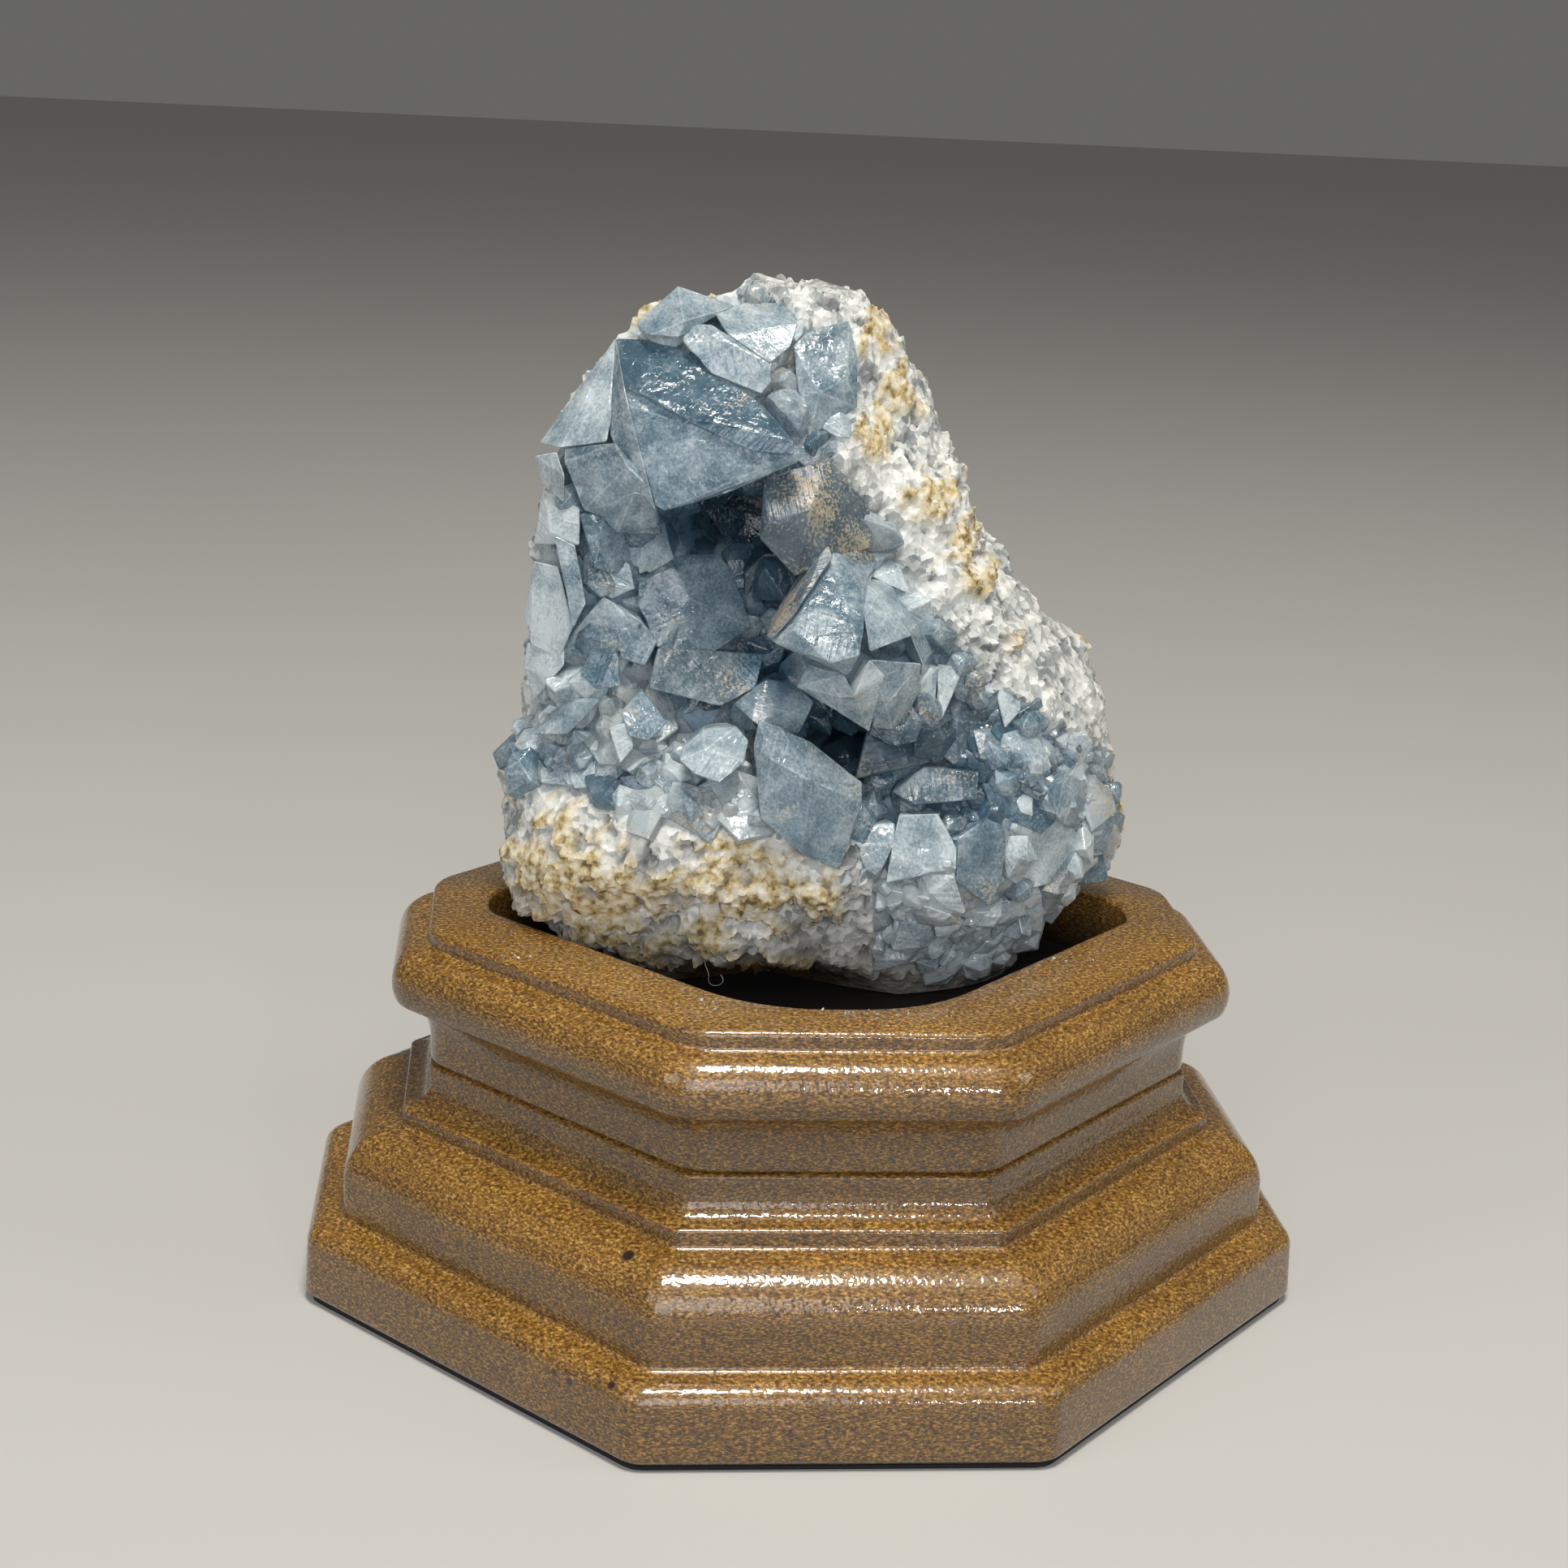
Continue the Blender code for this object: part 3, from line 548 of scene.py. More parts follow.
# Ochre clay patches on the front: x, z and reach
OCHRE_PATCHES = (
    (-33, 58, 7.5), (-27, 53, 7.5), (-20, 59, 4.5), (-14.5, 60.5, 5),
    (-8.5, 57.5, 6), (-2, 58, 4), (-15, 51, 4), (4.5, 124, 3),
    (4, 112, 2.5), (7, 117, 3.5), (12, 105.5, 3.4), (15.5, 100, 3.2),
    (18.5, 95, 2.4), (23, 88, 1.6), (-5, 46, 4), (-22, 45, 3),
)
BED_INSET = 3.0
BED_BEHIND = 2.5
KNOB = Vector((-1.8, -19.0, 58.3))
KNOB_REACH = 3.4
KNOB_RISE = 2.0


def station_at(height):
    """Left, right, front and back of the specimen at a height above its foot."""
    smooth = height + np.linspace(-2.0, 2.0, 5)
    heights = OUTLINE_STATIONS[:, 0]
    return [float(np.mean(np.interp(smooth, heights, side))) for side in OUTLINE_STATIONS.T[1:]]


def inwards(point, x, z, reach_x, reach_z):
    """How far in an oval a place is, seen from the front: 1 at its middle, 0 at its rim."""
    return 1 - math.hypot((point.x - x) / reach_x, (point.z - z) / reach_z)


def limited(amount):
    """An amount kept between 0 and 1."""
    return max(0.0, min(1.0, amount))


def depth_in_field(point):
    """How far a place is inside the crystal field in millimetres, below 0 outside."""
    nearest = 1000.0
    inside = False
    for (x1, z1), (x2, z2) in zip(CRYSTAL_EDGE, CRYSTAL_EDGE[1:] + CRYSTAL_EDGE[:1]):
        run_x, run_z = x2 - x1, z2 - z1
        t = limited(((point.x - x1) * run_x + (point.z - z1) * run_z) / (run_x**2 + run_z**2))
        nearest = min(nearest, math.hypot(point.x - x1 - t * run_x, point.z - z1 - t * run_z))
        if (z1 > point.z) != (z2 > point.z) and point.x < x1 + run_x * (point.z - z1) / run_z:
            inside = not inside
    behind = 5.0 - point.y
    return min(behind, nearest if inside else -nearest)


def hollow_depth(point):
    """Y of the bed at a place: its own, or the back of an open hollow where there is one."""
    depth = point.y
    for centre, radii in OPEN_HOLLOWS:
        reach = math.hypot((point.x - centre[0]) / radii[0], (point.z - centre[2]) / radii[2])
        if reach < 1:
            depth = max(depth, centre[1] + radii[1] * math.sqrt(1 - reach * reach))
    return depth


def darkness(point):
    """How far a place lies in a dark hole, 0 to 1."""
    amount = max(limited((0.15 + inwards(point, *hole)) * 3.0) for hole in DARK_HOLES)
    return amount * limited((point.y + 15.0) / 6.0)


def ochre_here(point):
    """How much ochre clay sits at a place, 0 to 1."""
    wander = noise.fractal(point / 3.0, 0.9, 2.0, 4) * 0.9
    if point.y >= 4:
        amount = noise.noise(point / 16.0 + Vector((7.0, 0.0, 3.0))) * 2.2 - 0.5 + wander
        return limited(amount * 2.0)
    amount = 0.0
    for x, z, reach in OCHRE_PATCHES:
        amount = max(amount, 1.05 - math.hypot(point.x - x, point.z - z) / reach + wander)
    return limited(amount * 2.0)


def crumble(point, width):
    """Relief of broken sugary grains of a width: flat-topped crumbs at uneven heights."""
    distances, places = noise.voronoi(point / width)
    own_height = noise.cell(places[0] * 37.0)
    gap = min(1.0, (distances[1] - distances[0]) / 0.25)
    return ((own_height - 0.5) * 0.8 - 0.5 * (1 - gap)) * width


LEVELS = 215
AROUND = 430
FRONT_FINENESS = 0.4
SQUARENESS = 0.94
PIT_LEAST = 0.27
# What the rind's material reads at each point, 0 to 1
MARKS = ("ochre", "bed", "pit", "dark", "arch_shadow")
rings, marks = [], []
for level in range(LEVELS + 1):
    height = SPECIMEN_HEIGHT * (1 - (1 - level / LEVELS) ** 1.2)
    left, right, front, back = station_at(height)
    rise = min(1.0, height / 12.0, 0.3 + (SPECIMEN_HEIGHT - height) / 12.0)
    near_foot = min(1.0, height / 3.0)
    ring = []
    for step in range(AROUND):
        turn = 2 * math.pi * step / AROUND
        angle = turn - FRONT_FINENESS * math.cos(turn)
        c = math.copysign(abs(math.cos(angle)) ** SQUARENESS, math.cos(angle))
        s = math.copysign(abs(math.sin(angle)) ** SQUARENESS, math.sin(angle))
        point = Vector((
            (left + right) / 2 + (right - left) / 2 * c,
            (front + back) / 2 + (back - front) / 2 * s,
            SPECIMEN_FOOT + height,
        ))
        out = (point - LUMP_CENTRE).normalized()
        lump = noise.noise(point / 13.0) * 3.4 + noise.noise(point / 5.0) * 1.4
        point += out * lump * rise
        if point.y < 0:
            point.y += ARCH_DEPTH * max(0.0, inwards(point, *ARCH))
        bed = limited(depth_in_field(point) / 2.0)
        ochre = ochre_here(point) * (1 - bed)
        pit = max(0.0, noise.noise(point / 2.2 + Vector((0.0, 5.0, 9.0))) - PIT_LEAST) * (1 - ochre)
        worm = max(0.0, 0.2 - abs(noise.noise(point / 1.5))) * 3.0
        lift = noise.fractal(point / 7.0 + Vector((3.0, 8.0, 1.0)), 0.8, 2.0, 3) * 0.8
        lift += (crumble(point, 2.3) * 0.17 + crumble(point, 1.0) * 0.28) * (1 - 0.5 * ochre)
        lift += ochre * (0.8 - worm) - pit * 3.5
        lift += KNOB_RISE * max(0.0, 1 - (point - KNOB).length / KNOB_REACH) ** 0.5
        point += out * lift * near_foot
        if bed > 0:
            point += (LUMP_CENTRE - point).normalized() * BED_INSET * bed
            sunk = hollow_depth(point)
            covered = large_front(point.x, point.z)
            if covered is not None:
                sunk = max(sunk, covered + BED_BEHIND)
            point.y += (sunk - point.y) * bed
        ring.append(point)
        # Painted shadow: brown darkening round the arch under the front
        arch_shadow = inwards(point, *ARCH_SHADOW) + noise.noise(point / 2.5) * 0.25
        arch_shadow = limited(arch_shadow * 2.5) * (point.y < 0)
        marks.append((ochre, bed, min(1.0, pit * 6.0), darkness(point) * bed, arch_shadow))
    rings.append(ring)
marks = np.array(marks)
rind = piece_through("rind", rings, 40.0)
for label, values in zip(MARKS, marks.T):
    layer = rind.data.attributes.new(label, "FLOAT", "POINT")
    layer.data.foreach_set("value", values.tolist())
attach(rind, "root")
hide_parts("geode_rind")

# Sugary rind with clay. Chalk-white grains about 1 mm wide scatter light, pits between them are
# painted grey as painted shade, clay is dull ochre, and the bed below the crystals is grey-blue.
GRAIN_WIDTH = 0.9
PATCH_WIDTH = 5.0
CLAY_GRAIN = 1.3
POWDER_GRAIN = 0.35
rind_material, tree, shader, place = start_material("sugary_celestite_rind_with_clay")
ochre, bed, pit, dark, arch_shadow = (
    add(tree, "Attribute", attribute_name=label).outputs["Fac"] for label in MARKS
)
grains = add(tree, "TexVoronoi", width=GRAIN_WIDTH)
grain_tone = add(tree, "SeparateColor", {"Color": grains.outputs["Color"]})
patches = add(tree, "TexNoise", {"Detail": 6.0}, width=PATCH_WIDTH)
tone = add(tree, "MixRGB", {"Fac": 0.28, "Color1": patches, "Color2": grain_tone})
white = add(tree, "ValToRGB", {"Fac": tone}, stops=(
    (0.30, "#767C7E"), (0.42, "#A2A6A4"), (0.52, "#C3C5C0"), (0.66, "#E0E1DC"),
))
clay_tone = add(tree, "TexNoise", {"Detail": 5.0}, width=CLAY_GRAIN)
clay = add(tree, "ValToRGB", {"Fac": clay_tone}, stops=(
    (0.34, "#6C6049"), (0.43, "#B39D68"), (0.52, "#CCBF9C"), (0.66, "#DEDACB"),
))
# Pits: painted shade in the recesses between the grains
pit_shade = add(tree, "Math", {0: pit, 1: 0.7}, operation="MULTIPLY")
# Browner and darker towards the foot, below a patchy line: painted shade under the lump
height = add(tree, "SeparateXYZ", {"Vector": place}).outputs["Z"]
patchy_height = add(tree, "Math", {0: patches, 1: 14 * MM, 2: height}, operation="MULTIPLY_ADD")
foot_shade = add(tree, "MapRange", {"Value": patchy_height}, span=(63 * MM, 52 * MM, 0.0, 0.5))
# dark: painted shade in the holes where hardly any light comes in
shade = white
for amount, colour in (
    (ochre, clay), (pit_shade, "#54575A"), (foot_shade, "#75633F"), (arch_shadow, "#41301A"),
    (bed, "#8FA5B4"), (dark, "#3A5364"),
):
    shade = add(tree, "MixRGB", {"Fac": amount, "Color1": shade, "Color2": colour})
sparkle = add(tree, "Bump", {"Height": grains, "Strength": 0.6, "Distance": 0.25 * MM})
dusting = add(tree, "TexNoise", {"Detail": 3.0}, width=POWDER_GRAIN)
powder = add(tree, "Bump", {
    "Height": dusting, "Strength": 0.35, "Distance": 0.15 * MM, "Normal": sparkle,
})
grain_gloss = add(tree, "MapRange", {"Value": grain_tone}, span=(0.6, 1.0, 0.75, 0.3))
feed(tree, shader, {"Base Color": shade, "Normal": powder, "Roughness": grain_gloss})
rind.data.materials.append(rind_material)


# Crystal crust: celestite crystals that grew into the hollow, pale blue and clear, ending in
# chisel faces, packed side by side and grown together. Large ones carry growth steps.

# Brown dust that settled on some of the large ones, 0 to 1
DUST = {
    "dusty": 1.0, "centre": 0.2, "wall_big": 0.25, "wall_low": 0.7, "wall_round": 0.3,
    "centre_strip": 1.0, "centre_cap": 0.9, "hole_shelf": 0.9, "hole_wall": 0.8, "glitter": 0.6,
    "low_dark": 0.5, "apex": 0.3, "left_shelf": 0.4, "under_roof": 0.4, "centre_low": 0.15,
    "block": 0.3, "roof_rib": 0.3,
}
# Large crystals with one etched, silvery side
ETCHED = {"centre": 0.8, "low_glint": 0.6, "glitter": 0.6, "top_clear": 0.3, "dotted": 0.4}
# Zones of smaller crystals: middle x and z, reach in x and z, smallest and largest width,
# least and most height for their width, and how frosted
CRYSTAL_ZONES = (
    (-31, 76, 11, 8, 2.8, 7.5, 0.35, 0.75, 0.85),
    (-15, 69, 11, 5, 2.2, 5.5, 0.4, 0.85, 0.9),
    (31, 70, 9, 11, 1.3, 3.2, 0.35, 0.8, 0.75),
    (14, 73, 11, 8, 4, 9, 0.2, 0.5, 0.2),
    (13, 53, 10.5, 11, 2.4, 6.5, 0.3, 0.65, 1),
    (29, 53, 12, 12, 2.4, 7.5, 0.3, 0.7, 0.95),
    (-13, 124, 14, 7, 2.5, 7, 0.35, 0.8, 0.8),
    (-39, 92, 6.5, 22, 4, 9, 0.15, 0.4, 0.95),
    (-22, 91, 13, 16, 7, 13, 0.08, 0.22, 0.45),
    (-12, 99, 10, 10, 5, 10, 0.25, 0.5, 0.15),
    (6, 96, 9, 16, 2.8, 6.5, 0.35, 0.7, 0.8),
    (-5, 90, 60, 60, 4, 8.5, 0.25, 0.6, 0.45),
)
# Bevelled edges are whiter than their crystal: partly frosted wear, partly painted highlight for the
# glints along crystal edges
EDGE_FROST_AND_GLINT = 0.12
LARGE_WORN_EDGE = 0.14
SMALL_WORN_EDGE = 0.09
# Neighbouring faces that meet at less than this many degrees are one crystal face
ONE_FACE = 13.0


def facet_solid(name, corners, frost, dust, rng, worn_edge):
    """A convex crystal through its corners, with thin worn edges made whiter: frosted wear and painted
    highlight.
    """
    bm = hull_of(corners)
    worn = []
    if worn_edge:
        bmesh.ops.dissolve_limit(
            bm, angle_limit=math.radians(ONE_FACE), verts=bm.verts[:], edges=bm.edges[:]
        )
        worn = bmesh.ops.bevel(
            bm, geom=bm.edges[:], offset=worn_edge, segments=1, affect="EDGES",
            clamp_overlap=True,
        )["faces"]
    bm.faces.index_update()
    worn = {face.index for face in worn}
    bmesh.ops.recalc_face_normals(bm, faces=bm.faces)
    bmesh.ops.scale(bm, vec=(MM, MM, MM), verts=bm.verts)
    mesh = bpy.data.meshes.new(name)
    bm.to_mesh(mesh)
    bm.free()
    count = len(mesh.polygons)
    lines = Vector([rng.gauss(0, 1) for _ in range(3)]).normalized()
    for label, values in (
        ("frost", [frost + EDGE_FROST_AND_GLINT * (i in worn) for i in range(count)]),
        ("etched", [ETCHED.get(name, 0.0)] * count),
        ("dust", [dust] * count),
    ):
        mesh.attributes.new(label, "FLOAT", "FACE").data.foreach_set("value", values)
    layer = mesh.attributes.new("lines", "FLOAT_VECTOR", "FACE")
    layer.data.foreach_set("vector", list(lines) * count)
    crystal_group.objects.link(bpy.data.objects.new(name, mesh))


def chisel_crystal(foot, tip, width, height, rng):
    """Corners of a prism with an uneven many-sided section that ends in sloping faces."""
    axis = tip - foot
    length = axis.length
    turn = axis.to_track_quat("Z", "Y").to_matrix()
    twist = Matrix.Rotation(rng.uniform(0, math.pi), 3, "Z")
    flat = rng.uniform(0.65, 1.0)
    shoulder = length - rng.uniform(0.25, 0.8) * width * height
    sides = rng.choice((4, 5, 6, 6, 7))
    corners = []
    for i in range(sides):
        angle = 2 * math.pi * (i + rng.uniform(-0.3, 0.3)) / sides
        reach = width / 2 * rng.uniform(0.85, 1.12)
        x, y = reach * math.cos(angle), reach * math.sin(angle) * flat
        drop = rng.uniform(-0.3, 0.2) * width * height
        corners += [(x * 0.75, y * 0.75, 0.0), (x, y, shoulder + drop)]
    crest = rng.uniform(0.0, 0.45)
    for side in (-1, 1):
        for edge in (-1, 1):
            x = side * crest * width / 2
            y = edge * rng.uniform(0.02, 0.35) * width / 2
            corners.append((x, y, length * rng.uniform(0.96, 1.0)))
    return [foot + turn @ (twist @ Vector(c)) for c in corners]


crystal_group = bpy.data.collections.new("crystals")
bpy.context.scene.collection.children.link(crystal_group)
rng = random.Random(11)
for name, (frost, corners) in LARGE_CRYSTALS.items():
    facet_solid(name, with_back(corners), frost, DUST.get(name, 0.1), rng, LARGE_WORN_EDGE)

# Smaller crystals stand on the bed, close enough to grow into each other: a low base layer,
# then large ones, then small ones between them
SEAT_TRIES = 9000
CLOSENESS = 0.27
BASE_WIDTH = 8.5
BASE_RELIEF = 0.16
LEAST_WIDTH = 1.1
EDGE_FRAY = 3.0
rind.data.calc_loop_triangles()
triangles = np.array([t.vertices[:] for t in rind.data.loop_triangles])
areas = np.array([t.area for t in rind.data.loop_triangles])
areas *= (marks[:, MARKS.index("bed")] > 0.3)[triangles].all(axis=1)
picks = np.random.default_rng(5).choice(len(areas), size=SEAT_TRIES, p=areas / areas.sum())
spots = np.array([v.co[:] for v in rind.data.vertices]) / MM
near_bed = KDTree(len(spots))
for i, vert in enumerate(rind.data.vertices):
    near_bed.insert(vert.co / MM, i)
near_bed.balance()
seats_taken = {}
for layer in ("base", "large", "small"):
    taken = seats_taken["large"] if layer == "small" else np.zeros((0, 4))
    for pick in picks:
        seat = Vector(spots[triangles[pick]].mean(axis=0))
        if large_front(seat.x, seat.z) is not None:
            continue
        zone = next(z for z in CRYSTAL_ZONES if inwards(seat, *z[:4]) > 0)
        least, most, low, high, zone_frost = zone[4:]
        fray = min(1.0, 0.35 + depth_in_field(seat) / EDGE_FRAY)
        if layer == "base":
            width = BASE_WIDTH * rng.uniform(0.7, 1.2) * fray
        else:
            size = rng.random() * (1.0 if layer == "large" else 0.3)
            width = max(LEAST_WIDTH, (least + (most - least) * size) * fray)
        width *= min(1.0, 0.35 + (SPECIMEN_FOOT + SPECIMEN_HEIGHT - seat.z) / 12.0)
        gaps = np.linalg.norm(taken[:, :3] - np.array(seat), axis=1)
        if np.any(gaps < CLOSENESS * (width + taken[:, 3])):
            continue
        taken = np.vstack((taken, (*seat, width)))
        around = near_bed.find_range(seat, 2.5)
        normal = Vector((0.0, -0.3, 0.0))
        for _, i, _ in around[:: max(1, len(around) // 30)]:
            normal += rind.data.vertices[i].normal
        lean = Vector([rng.uniform(-0.5, 0.5) for _ in range(3)])
        direction = (normal.normalized() + lean + Vector((0.0, -0.35, 0.0))).normalized()
        height = rng.uniform(low, high)
        if layer == "base":
            height = BASE_RELIEF * rng.uniform(0.6, 1.6)
        tip = seat + direction * width * height
        foot = seat - direction * (1.5 + 0.3 * width)
        frost = zone_frost + rng.uniform(-0.35, 0.25)
        corners = chisel_crystal(foot, tip, width, height, rng)
        dust = rng.random() ** 2 * 0.8
        facet_solid("crystal", corners, frost, dust, rng, SMALL_WORN_EDGE if width > 3.2 else 0.0)
    seats_taken[layer] = taken

crystals = crystal_group.objects[0]
bpy.context.scene.collection.objects.link(crystals)
crystal_group.objects.unlink(crystals)
crystals.name = "crystals"
fuse = crystals.modifiers.new("fuse", "BOOLEAN")
fuse.operation = "UNION"
fuse.operand_type = "COLLECTION"
fuse.collection = crystal_group
fuse.solver = "MANIFOLD"
depsgraph = bpy.context.evaluated_depsgraph_get()
fused = bpy.data.meshes.new_from_object(crystals.evaluated_get(depsgraph))
crystals.modifiers.clear()
crystals.data = fused
for item in list(crystal_group.objects):
    bpy.data.objects.remove(item, do_unlink=True)
bpy.data.collections.remove(crystal_group)

# Faces are cut finer, then stepped along their growth lines, waved and chipped a little
FACE_CUTS = (6.0, 3.0, 2.0, 1.4)
MOST_TRIANGLES = 190000
STEP_SPACING = 1.3
STEP_HEIGHT = 0.07
WAVE_HEIGHT = 0.06
CHIP_LEAST = 0.36
bm = bmesh.new()
bm.from_mesh(fused)
bmesh.ops.triangulate(bm, faces=bm.faces)
for cut in FACE_CUTS:
    long_edges = [e for e in bm.edges if e.calc_length() > cut * MM]
    if len(bm.faces) + 2 * len(long_edges) < MOST_TRIANGLES:
        bmesh.ops.subdivide_edges(bm, edges=long_edges, cuts=1)
        bmesh.ops.triangulate(bm, faces=bm.faces)
bm.normal_update()
line_layer = bm.faces.layers.float_vector["lines"]
for vert in bm.verts:
    point = vert.co / MM
    step = point.dot(vert.link_faces[0][line_layer]) / STEP_SPACING
    step += noise.noise(point / 6.0) * 2.0
    relief = (step - math.floor(step)) * STEP_HEIGHT
    relief += noise.noise(point / 2.4) * WAVE_HEIGHT
    relief -= max(0.0, noise.noise(point / 1.7) - CHIP_LEAST)
    vert.co += vert.normal * relief * MM
bm.to_mesh(fused)
bm.free()
# The dark mark: painted shade on crystals in the holes
layer = fused.attributes.new("dark", "FLOAT", "POINT")
layer.data.foreach_set("value", [darkness(v.co / MM) for v in fused.vertices])
fused.shade_smooth()
fused.set_sharp_from_angle(angle=math.radians(ONE_FACE))
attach(crystals, "root")
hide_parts("crystal_crust")

# Celestite, grown from solution: strontium sulphate, IOR 1.62, clear with milky veils. Pale
# blue deepens with thickness, faces are glassy with fine growth lines and frosted patches.
VEIL_WIDTH = 5.0
GROWTH_LINE = 0.45
SPECK_WIDTH = 0.35
SPECK_FIELD_WIDTH = 7.0
CRACK_SPACING = 5.5
CRACK_BEND = 1.2
CRACK_BEND_WIDTH = 3.0
LINE_DRIFT = 0.06
ETCH_WIDTH = 0.7
UNEVEN_WIDTH = 2.0
ETCHED_SIDE = (-0.1, -0.7, 0.7)
crystal_material, tree, shader, place = start_material("clear_celestite_as_grown")
frost, etched, dust, dark = (
    add(tree, "Attribute", attribute_name=label).outputs["Fac"]
    for label in ("frost", "etched", "dust", "dark")
)
lines = add(tree, "Attribute", attribute_name="lines").outputs["Vector"]
veils = add(tree, "TexNoise", {"Detail": 6.0, "Roughness": 0.7, "Distortion": 0.2}, width=VEIL_WIDTH)
milk = add(tree, "MapRange", {"Value": veils}, span=(0.35, 0.65, -0.28, 0.28))
normal = add(tree, "NewGeometry").outputs["Normal"]
raised = add(tree, "VectorMath", {0: normal, 1: ETCHED_SIDE}, operation="DOT_PRODUCT")
etched_side = add(tree, "MapRange", {"Value": raised}, span=(0.86, 0.97))
etch = add(tree, "Math", {0: etched_side, 1: etched}, operation="MULTIPLY")
frosted = add(tree, "Math", {0: etch, 1: -0.1, 2: frost}, operation="MULTIPLY_ADD")
specks = add(tree, "TexNoise", width=SPECK_WIDTH)
grainy = add(tree, "Math", {0: specks, 1: 0.7, 2: milk}, operation="MULTIPLY_ADD")
veiled = add(tree, "Math", {0: grainy, 1: 0.35}, operation="SUBTRACT")
milky = add(tree, "Math", {0: veiled, 1: frosted}, operation="ADD", use_clamp=True)
shade = add(tree, "ValToRGB", {"Fac": milky}, stops=((0.1, "#7DA5BA"), (0.95, "#DFEBEE")))
bender = add(tree, "TexNoise", width=CRACK_BEND_WIDTH)
bent = add(tree, "VectorMath", {
    0: bender.outputs["Color"], 1: (CRACK_BEND * MM,) * 3, 2: place,
}, operation="MULTIPLY_ADD")
cracks = add(
    tree, "TexVoronoi", {"Vector": bent}, width=CRACK_SPACING, feature="DISTANCE_TO_EDGE",
)
crack = add(tree, "MapRange", {"Value": cracks}, span=(0.03, 0.008, 0.0, 0.22))
film = add(tree, "Math", {0: dust, 1: 0.6}, operation="MULTIPLY")
speck_fields = add(tree, "TexNoise", {"Detail": 3.0}, width=SPECK_FIELD_WIDTH)
speck_sum = add(tree, "Math", {0: speck_fields, 1: specks}, operation="ADD")
dusty_sum = add(tree, "Math", {0: dust, 1: 0.2, 2: speck_sum}, operation="MULTIPLY_ADD")
speck = add(tree, "MapRange", {"Value": dusty_sum}, span=(1.24, 1.34, 0.0, 0.8))
# dark: painted shade in the holes where hardly any light comes in
for amount, colour in ((crack, "#F4F6F6"), (film, "#67737A"), (speck, "#A39274"), (dark, "#5C7E92")):
    shade = add(tree, "MixRGB", {"Fac": amount, "Color1": shade, "Color2": colour})
clearness = add(tree, "MapRange", {"Value": milky}, span=(0.0, 1.0, 0.8, 0.3))
speck_free = add(tree, "Math", {0: 1.0, 1: speck}, operation="SUBTRACT")
clear = add(tree, "Math", {0: clearness, 1: speck_free}, operation="MULTIPLY")
polish = add(tree, "MapRange", {"Value": veils}, span=(0.4, 0.65, 0.02, 0.16))
dulled = add(tree, "Math", {0: dust, 1: 0.3, 2: polish}, operation="MULTIPLY_ADD")
etch_patches = add(tree, "MapRange", {"Value": grainy}, span=(0.25, 0.45, 0.04, 0.26))
roughness = add(tree, "Math", {0: etch, 1: etch_patches, 2: dulled}, operation="MULTIPLY_ADD")
along = add(tree, "VectorMath", {0: place, 1: lines}, operation="DOT_PRODUCT")
drift = add(tree, "VectorMath", {0: place, 1: (LINE_DRIFT,) * 3}, operation="MULTIPLY")
line_place = add(tree, "CombineXYZ", {"X": along})
line_spot = add(tree, "VectorMath", {0: line_place, 1: drift}, operation="ADD")
growth = add(tree, "TexNoise", {"Vector": line_spot, "Detail": 3.0}, width=GROWTH_LINE)
relief = add(tree, "Bump", {"Height": growth, "Strength": 0.8, "Distance": 0.18 * MM})
uneven = add(tree, "TexNoise", {"Detail": 5.0}, width=UNEVEN_WIDTH)
waves = add(tree, "Bump", {
    "Height": uneven, "Strength": 0.6, "Distance": 0.5 * MM, "Normal": relief,
})
pits = add(tree, "TexVoronoi", width=ETCH_WIDTH)
pitted = add(tree, "Bump", {"Height": pits, "Strength": 0.3, "Distance": 0.1 * MM, "Normal": waves})
absorb = add(tree, "VolumeAbsorption", {"Color": "#8FB7CE", "Density": 45.0})
feed(tree, shader, {
    "Base Color": shade, "Roughness": roughness, "Transmission Weight": clear,
    "Normal": pitted, "IOR": 1.62,
})
feed(tree, tree.nodes["Material Output"], {"Volume": absorb})
fused.materials.clear()
fused.materials.append(crystal_material)


# Crumbs and lint: celestite crumbs that broke off and lie on the well's rim and floor, and
# one curl of white cotton lint caught at the specimen's foot.

# Where crumbs lie: x, y, spread and how many
CRUMB_PLACES = (
    (36, 14, 5, 26), (30, -18, 5, 16), (4, -36.6, 8, 26),
    (-14, -35, 6, 16), (-38, -20, 4, 8),
)
CRUMB_CORNERS = 9
CRUMB_SINK = 0.01
RIM_ROUNDING = 1.0
rng = random.Random(3)
crumb_corners = []
for x, y, spread, count in CRUMB_PLACES:
    for _ in range(count):
        spot = Vector((rng.gauss(x, spread / 2), rng.gauss(y, spread / 5), STAND_TOP))
        across, along = abs(spot.x), abs(spot.y - WELL_CENTRE_Y)
        on_rim = (
            across > WELL_WIDTH / 2 + RIM_ROUNDING
            or along > WELL_FRONT_TO_BACK / 2 + RIM_ROUNDING
            or (across * CORNER_CUT_Y + along * CORNER_CUT_X) / CUT_LENGTH
            > WELL_CORNER_DISTANCE + RIM_ROUNDING
        )
        size = rng.uniform(0.08, 0.26)
        corners = [
            spot + Vector([rng.gauss(0, 1) for _ in range(3)]).normalized() * size
            for _ in range(CRUMB_CORNERS)
        ]
        drop = min(c.z for c in corners) - (STAND_TOP if on_rim else WELL_FLOOR) + CRUMB_SINK
        crumb_corners.append([(c - Vector((0.0, 0.0, drop))) * MM for c in corners])
points, faces = joined_hulls(crumb_corners)
crumb_mesh = bpy.data.meshes.new("crumbs")
crumb_mesh.from_pydata(points, [], faces)
crumb_mesh.materials.append(rind_material)
crumbs = put("crumbs", crumb_mesh)
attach(crumbs, "root")

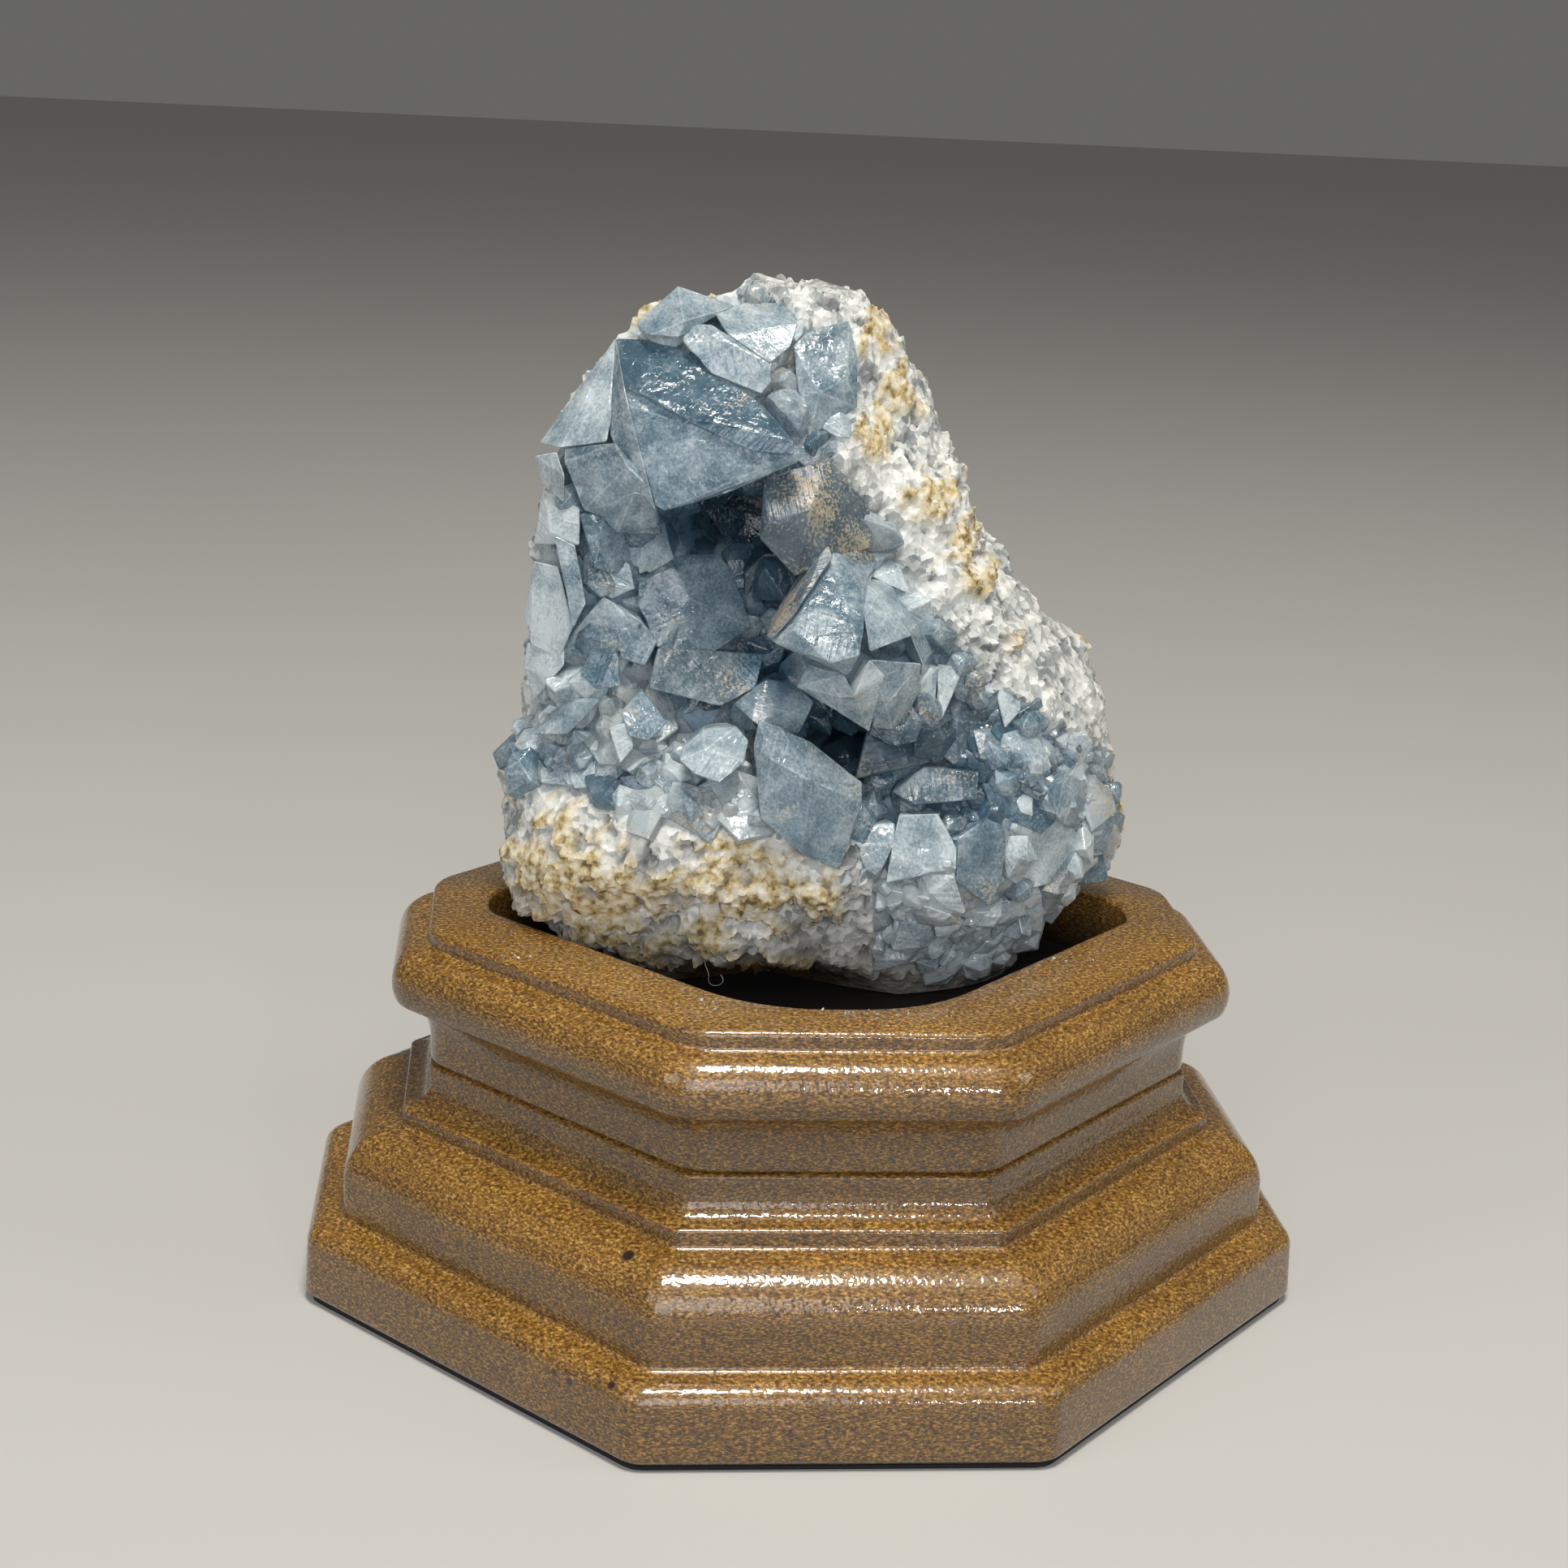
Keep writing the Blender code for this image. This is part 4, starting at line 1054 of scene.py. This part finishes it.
LINT_THICKNESS = 0.032
LINT_PATH = (
    (-15.0, -14.9, 47.2), (-15.2, -16.4, 46.9), (-14.4, -17.0, 45.8), (-14.7, -16.2, 44.6),
    (-14.0, -16.0, 43.8), (-13.0, -17.0, 44.3), (-12.6, -17.6, 45.3), (-13.1, -16.9, 45.7),
)
curl = bpy.data.curves.new("lint", "CURVE")
curl.dimensions = "3D"
curl.bevel_depth = LINT_THICKNESS * MM
curl.bevel_resolution = 2
curl.use_fill_caps = True
line = curl.splines.new("NURBS")
line.points.add(len(LINT_PATH) - 1)
for point, spot in zip(line.points, LINT_PATH):
    point.co = (*(Vector(spot) * MM), 1.0)
line.use_endpoint_u = True
line.order_u = 4
lint = put("lint", curl)
# White cotton fibre: matt, slightly off-white, with a faint twist of light and dark
FIBRE_TWIST = 0.3
lint_material, tree, shader, _ = start_material("white_cotton_fibre")
twist = add(tree, "TexNoise", width=FIBRE_TWIST)
shade = add(tree, "MixRGB", {"Fac": twist, "Color1": "#A9A8A2", "Color2": "#D5D4CE"})
feed(tree, shader, {"Base Color": shade, "Roughness": 0.9})
curl.materials.append(lint_material)
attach(lint, "root")


# Floor, light and camera: a pale matte floor, a soft key light high in front, a broad soft
# front light, two weak fills, a small lamp that gives the lacquer its glints, and the camera
# where the photograph was taken from.

FLOOR_REACH = 4.0
floor_mesh = bpy.data.meshes.new("floor")
corners = [(x * FLOOR_REACH, y * FLOOR_REACH, 0.0) for x, y in ((-1, -1), (1, -1), (1, 1), (-1, 1))]
floor_mesh.from_pydata(corners, [], [(0, 1, 2, 3)])
floor = put("floor", floor_mesh)
floor_material, tree, shader, _ = start_material("matte_white_laminate")
feed(tree, shader, {"Base Color": "#C6C5C1", "Roughness": 0.5})
floor_mesh.materials.append(floor_material)

# Square light panels that face the middle of the object: place, size, power and colour
LIGHT_AIM = Vector((0.0, 0.0, 0.06))
PANELS = {
    "key": ((0.0, -0.3, 1.0), 0.26, 8.6, "#FFFAF2"),
    "front": ((-0.25, -1.4, 0.65), 0.85, 8.0, "#F6F8FF"),
    "fill_left": ((-0.9, -0.5, 0.6), 0.5, 1.8, "#F4F7FF"),
    "fill_right": ((0.9, -0.2, 0.6), 0.5, 1.4, "#FFFAF2"),
    "glint": ((0.25, -1.0, 0.3), 0.09, 1.2, "#FFFFFF"),
}
for name, (spot, size, power, colour) in PANELS.items():
    light = bpy.data.lights.new(name, "AREA")
    light.shape = "SQUARE"
    light.size = size
    light.energy = power
    light.color = linear(colour)[:3]
    panel = put(name, light)
    panel.location = spot
    panel.rotation_euler = (LIGHT_AIM - Vector(spot)).to_track_quat("-Z", "Y").to_euler()
world = bpy.data.worlds.new("studio")
world.use_nodes = True
feed(world.node_tree, world.node_tree.nodes["Background"], {"Color": "#A9A8A4", "Strength": 0.34})
bpy.context.scene.world = world
bpy.context.scene.view_settings.view_transform = "Standard"

CAMERA_PLACE = (-0.03793, -0.31956, 0.15990)
CAMERA_TURN = (73.667, -2.702, -5.177)
lens = bpy.data.cameras.new("camera")
lens.sensor_width = 36.0
lens.lens = 59.13
lens.clip_start = 0.01
camera = put("camera", lens)
camera.location = CAMERA_PLACE
camera.rotation_euler = Euler([math.radians(a) for a in CAMERA_TURN])
bpy.context.scene.camera = camera
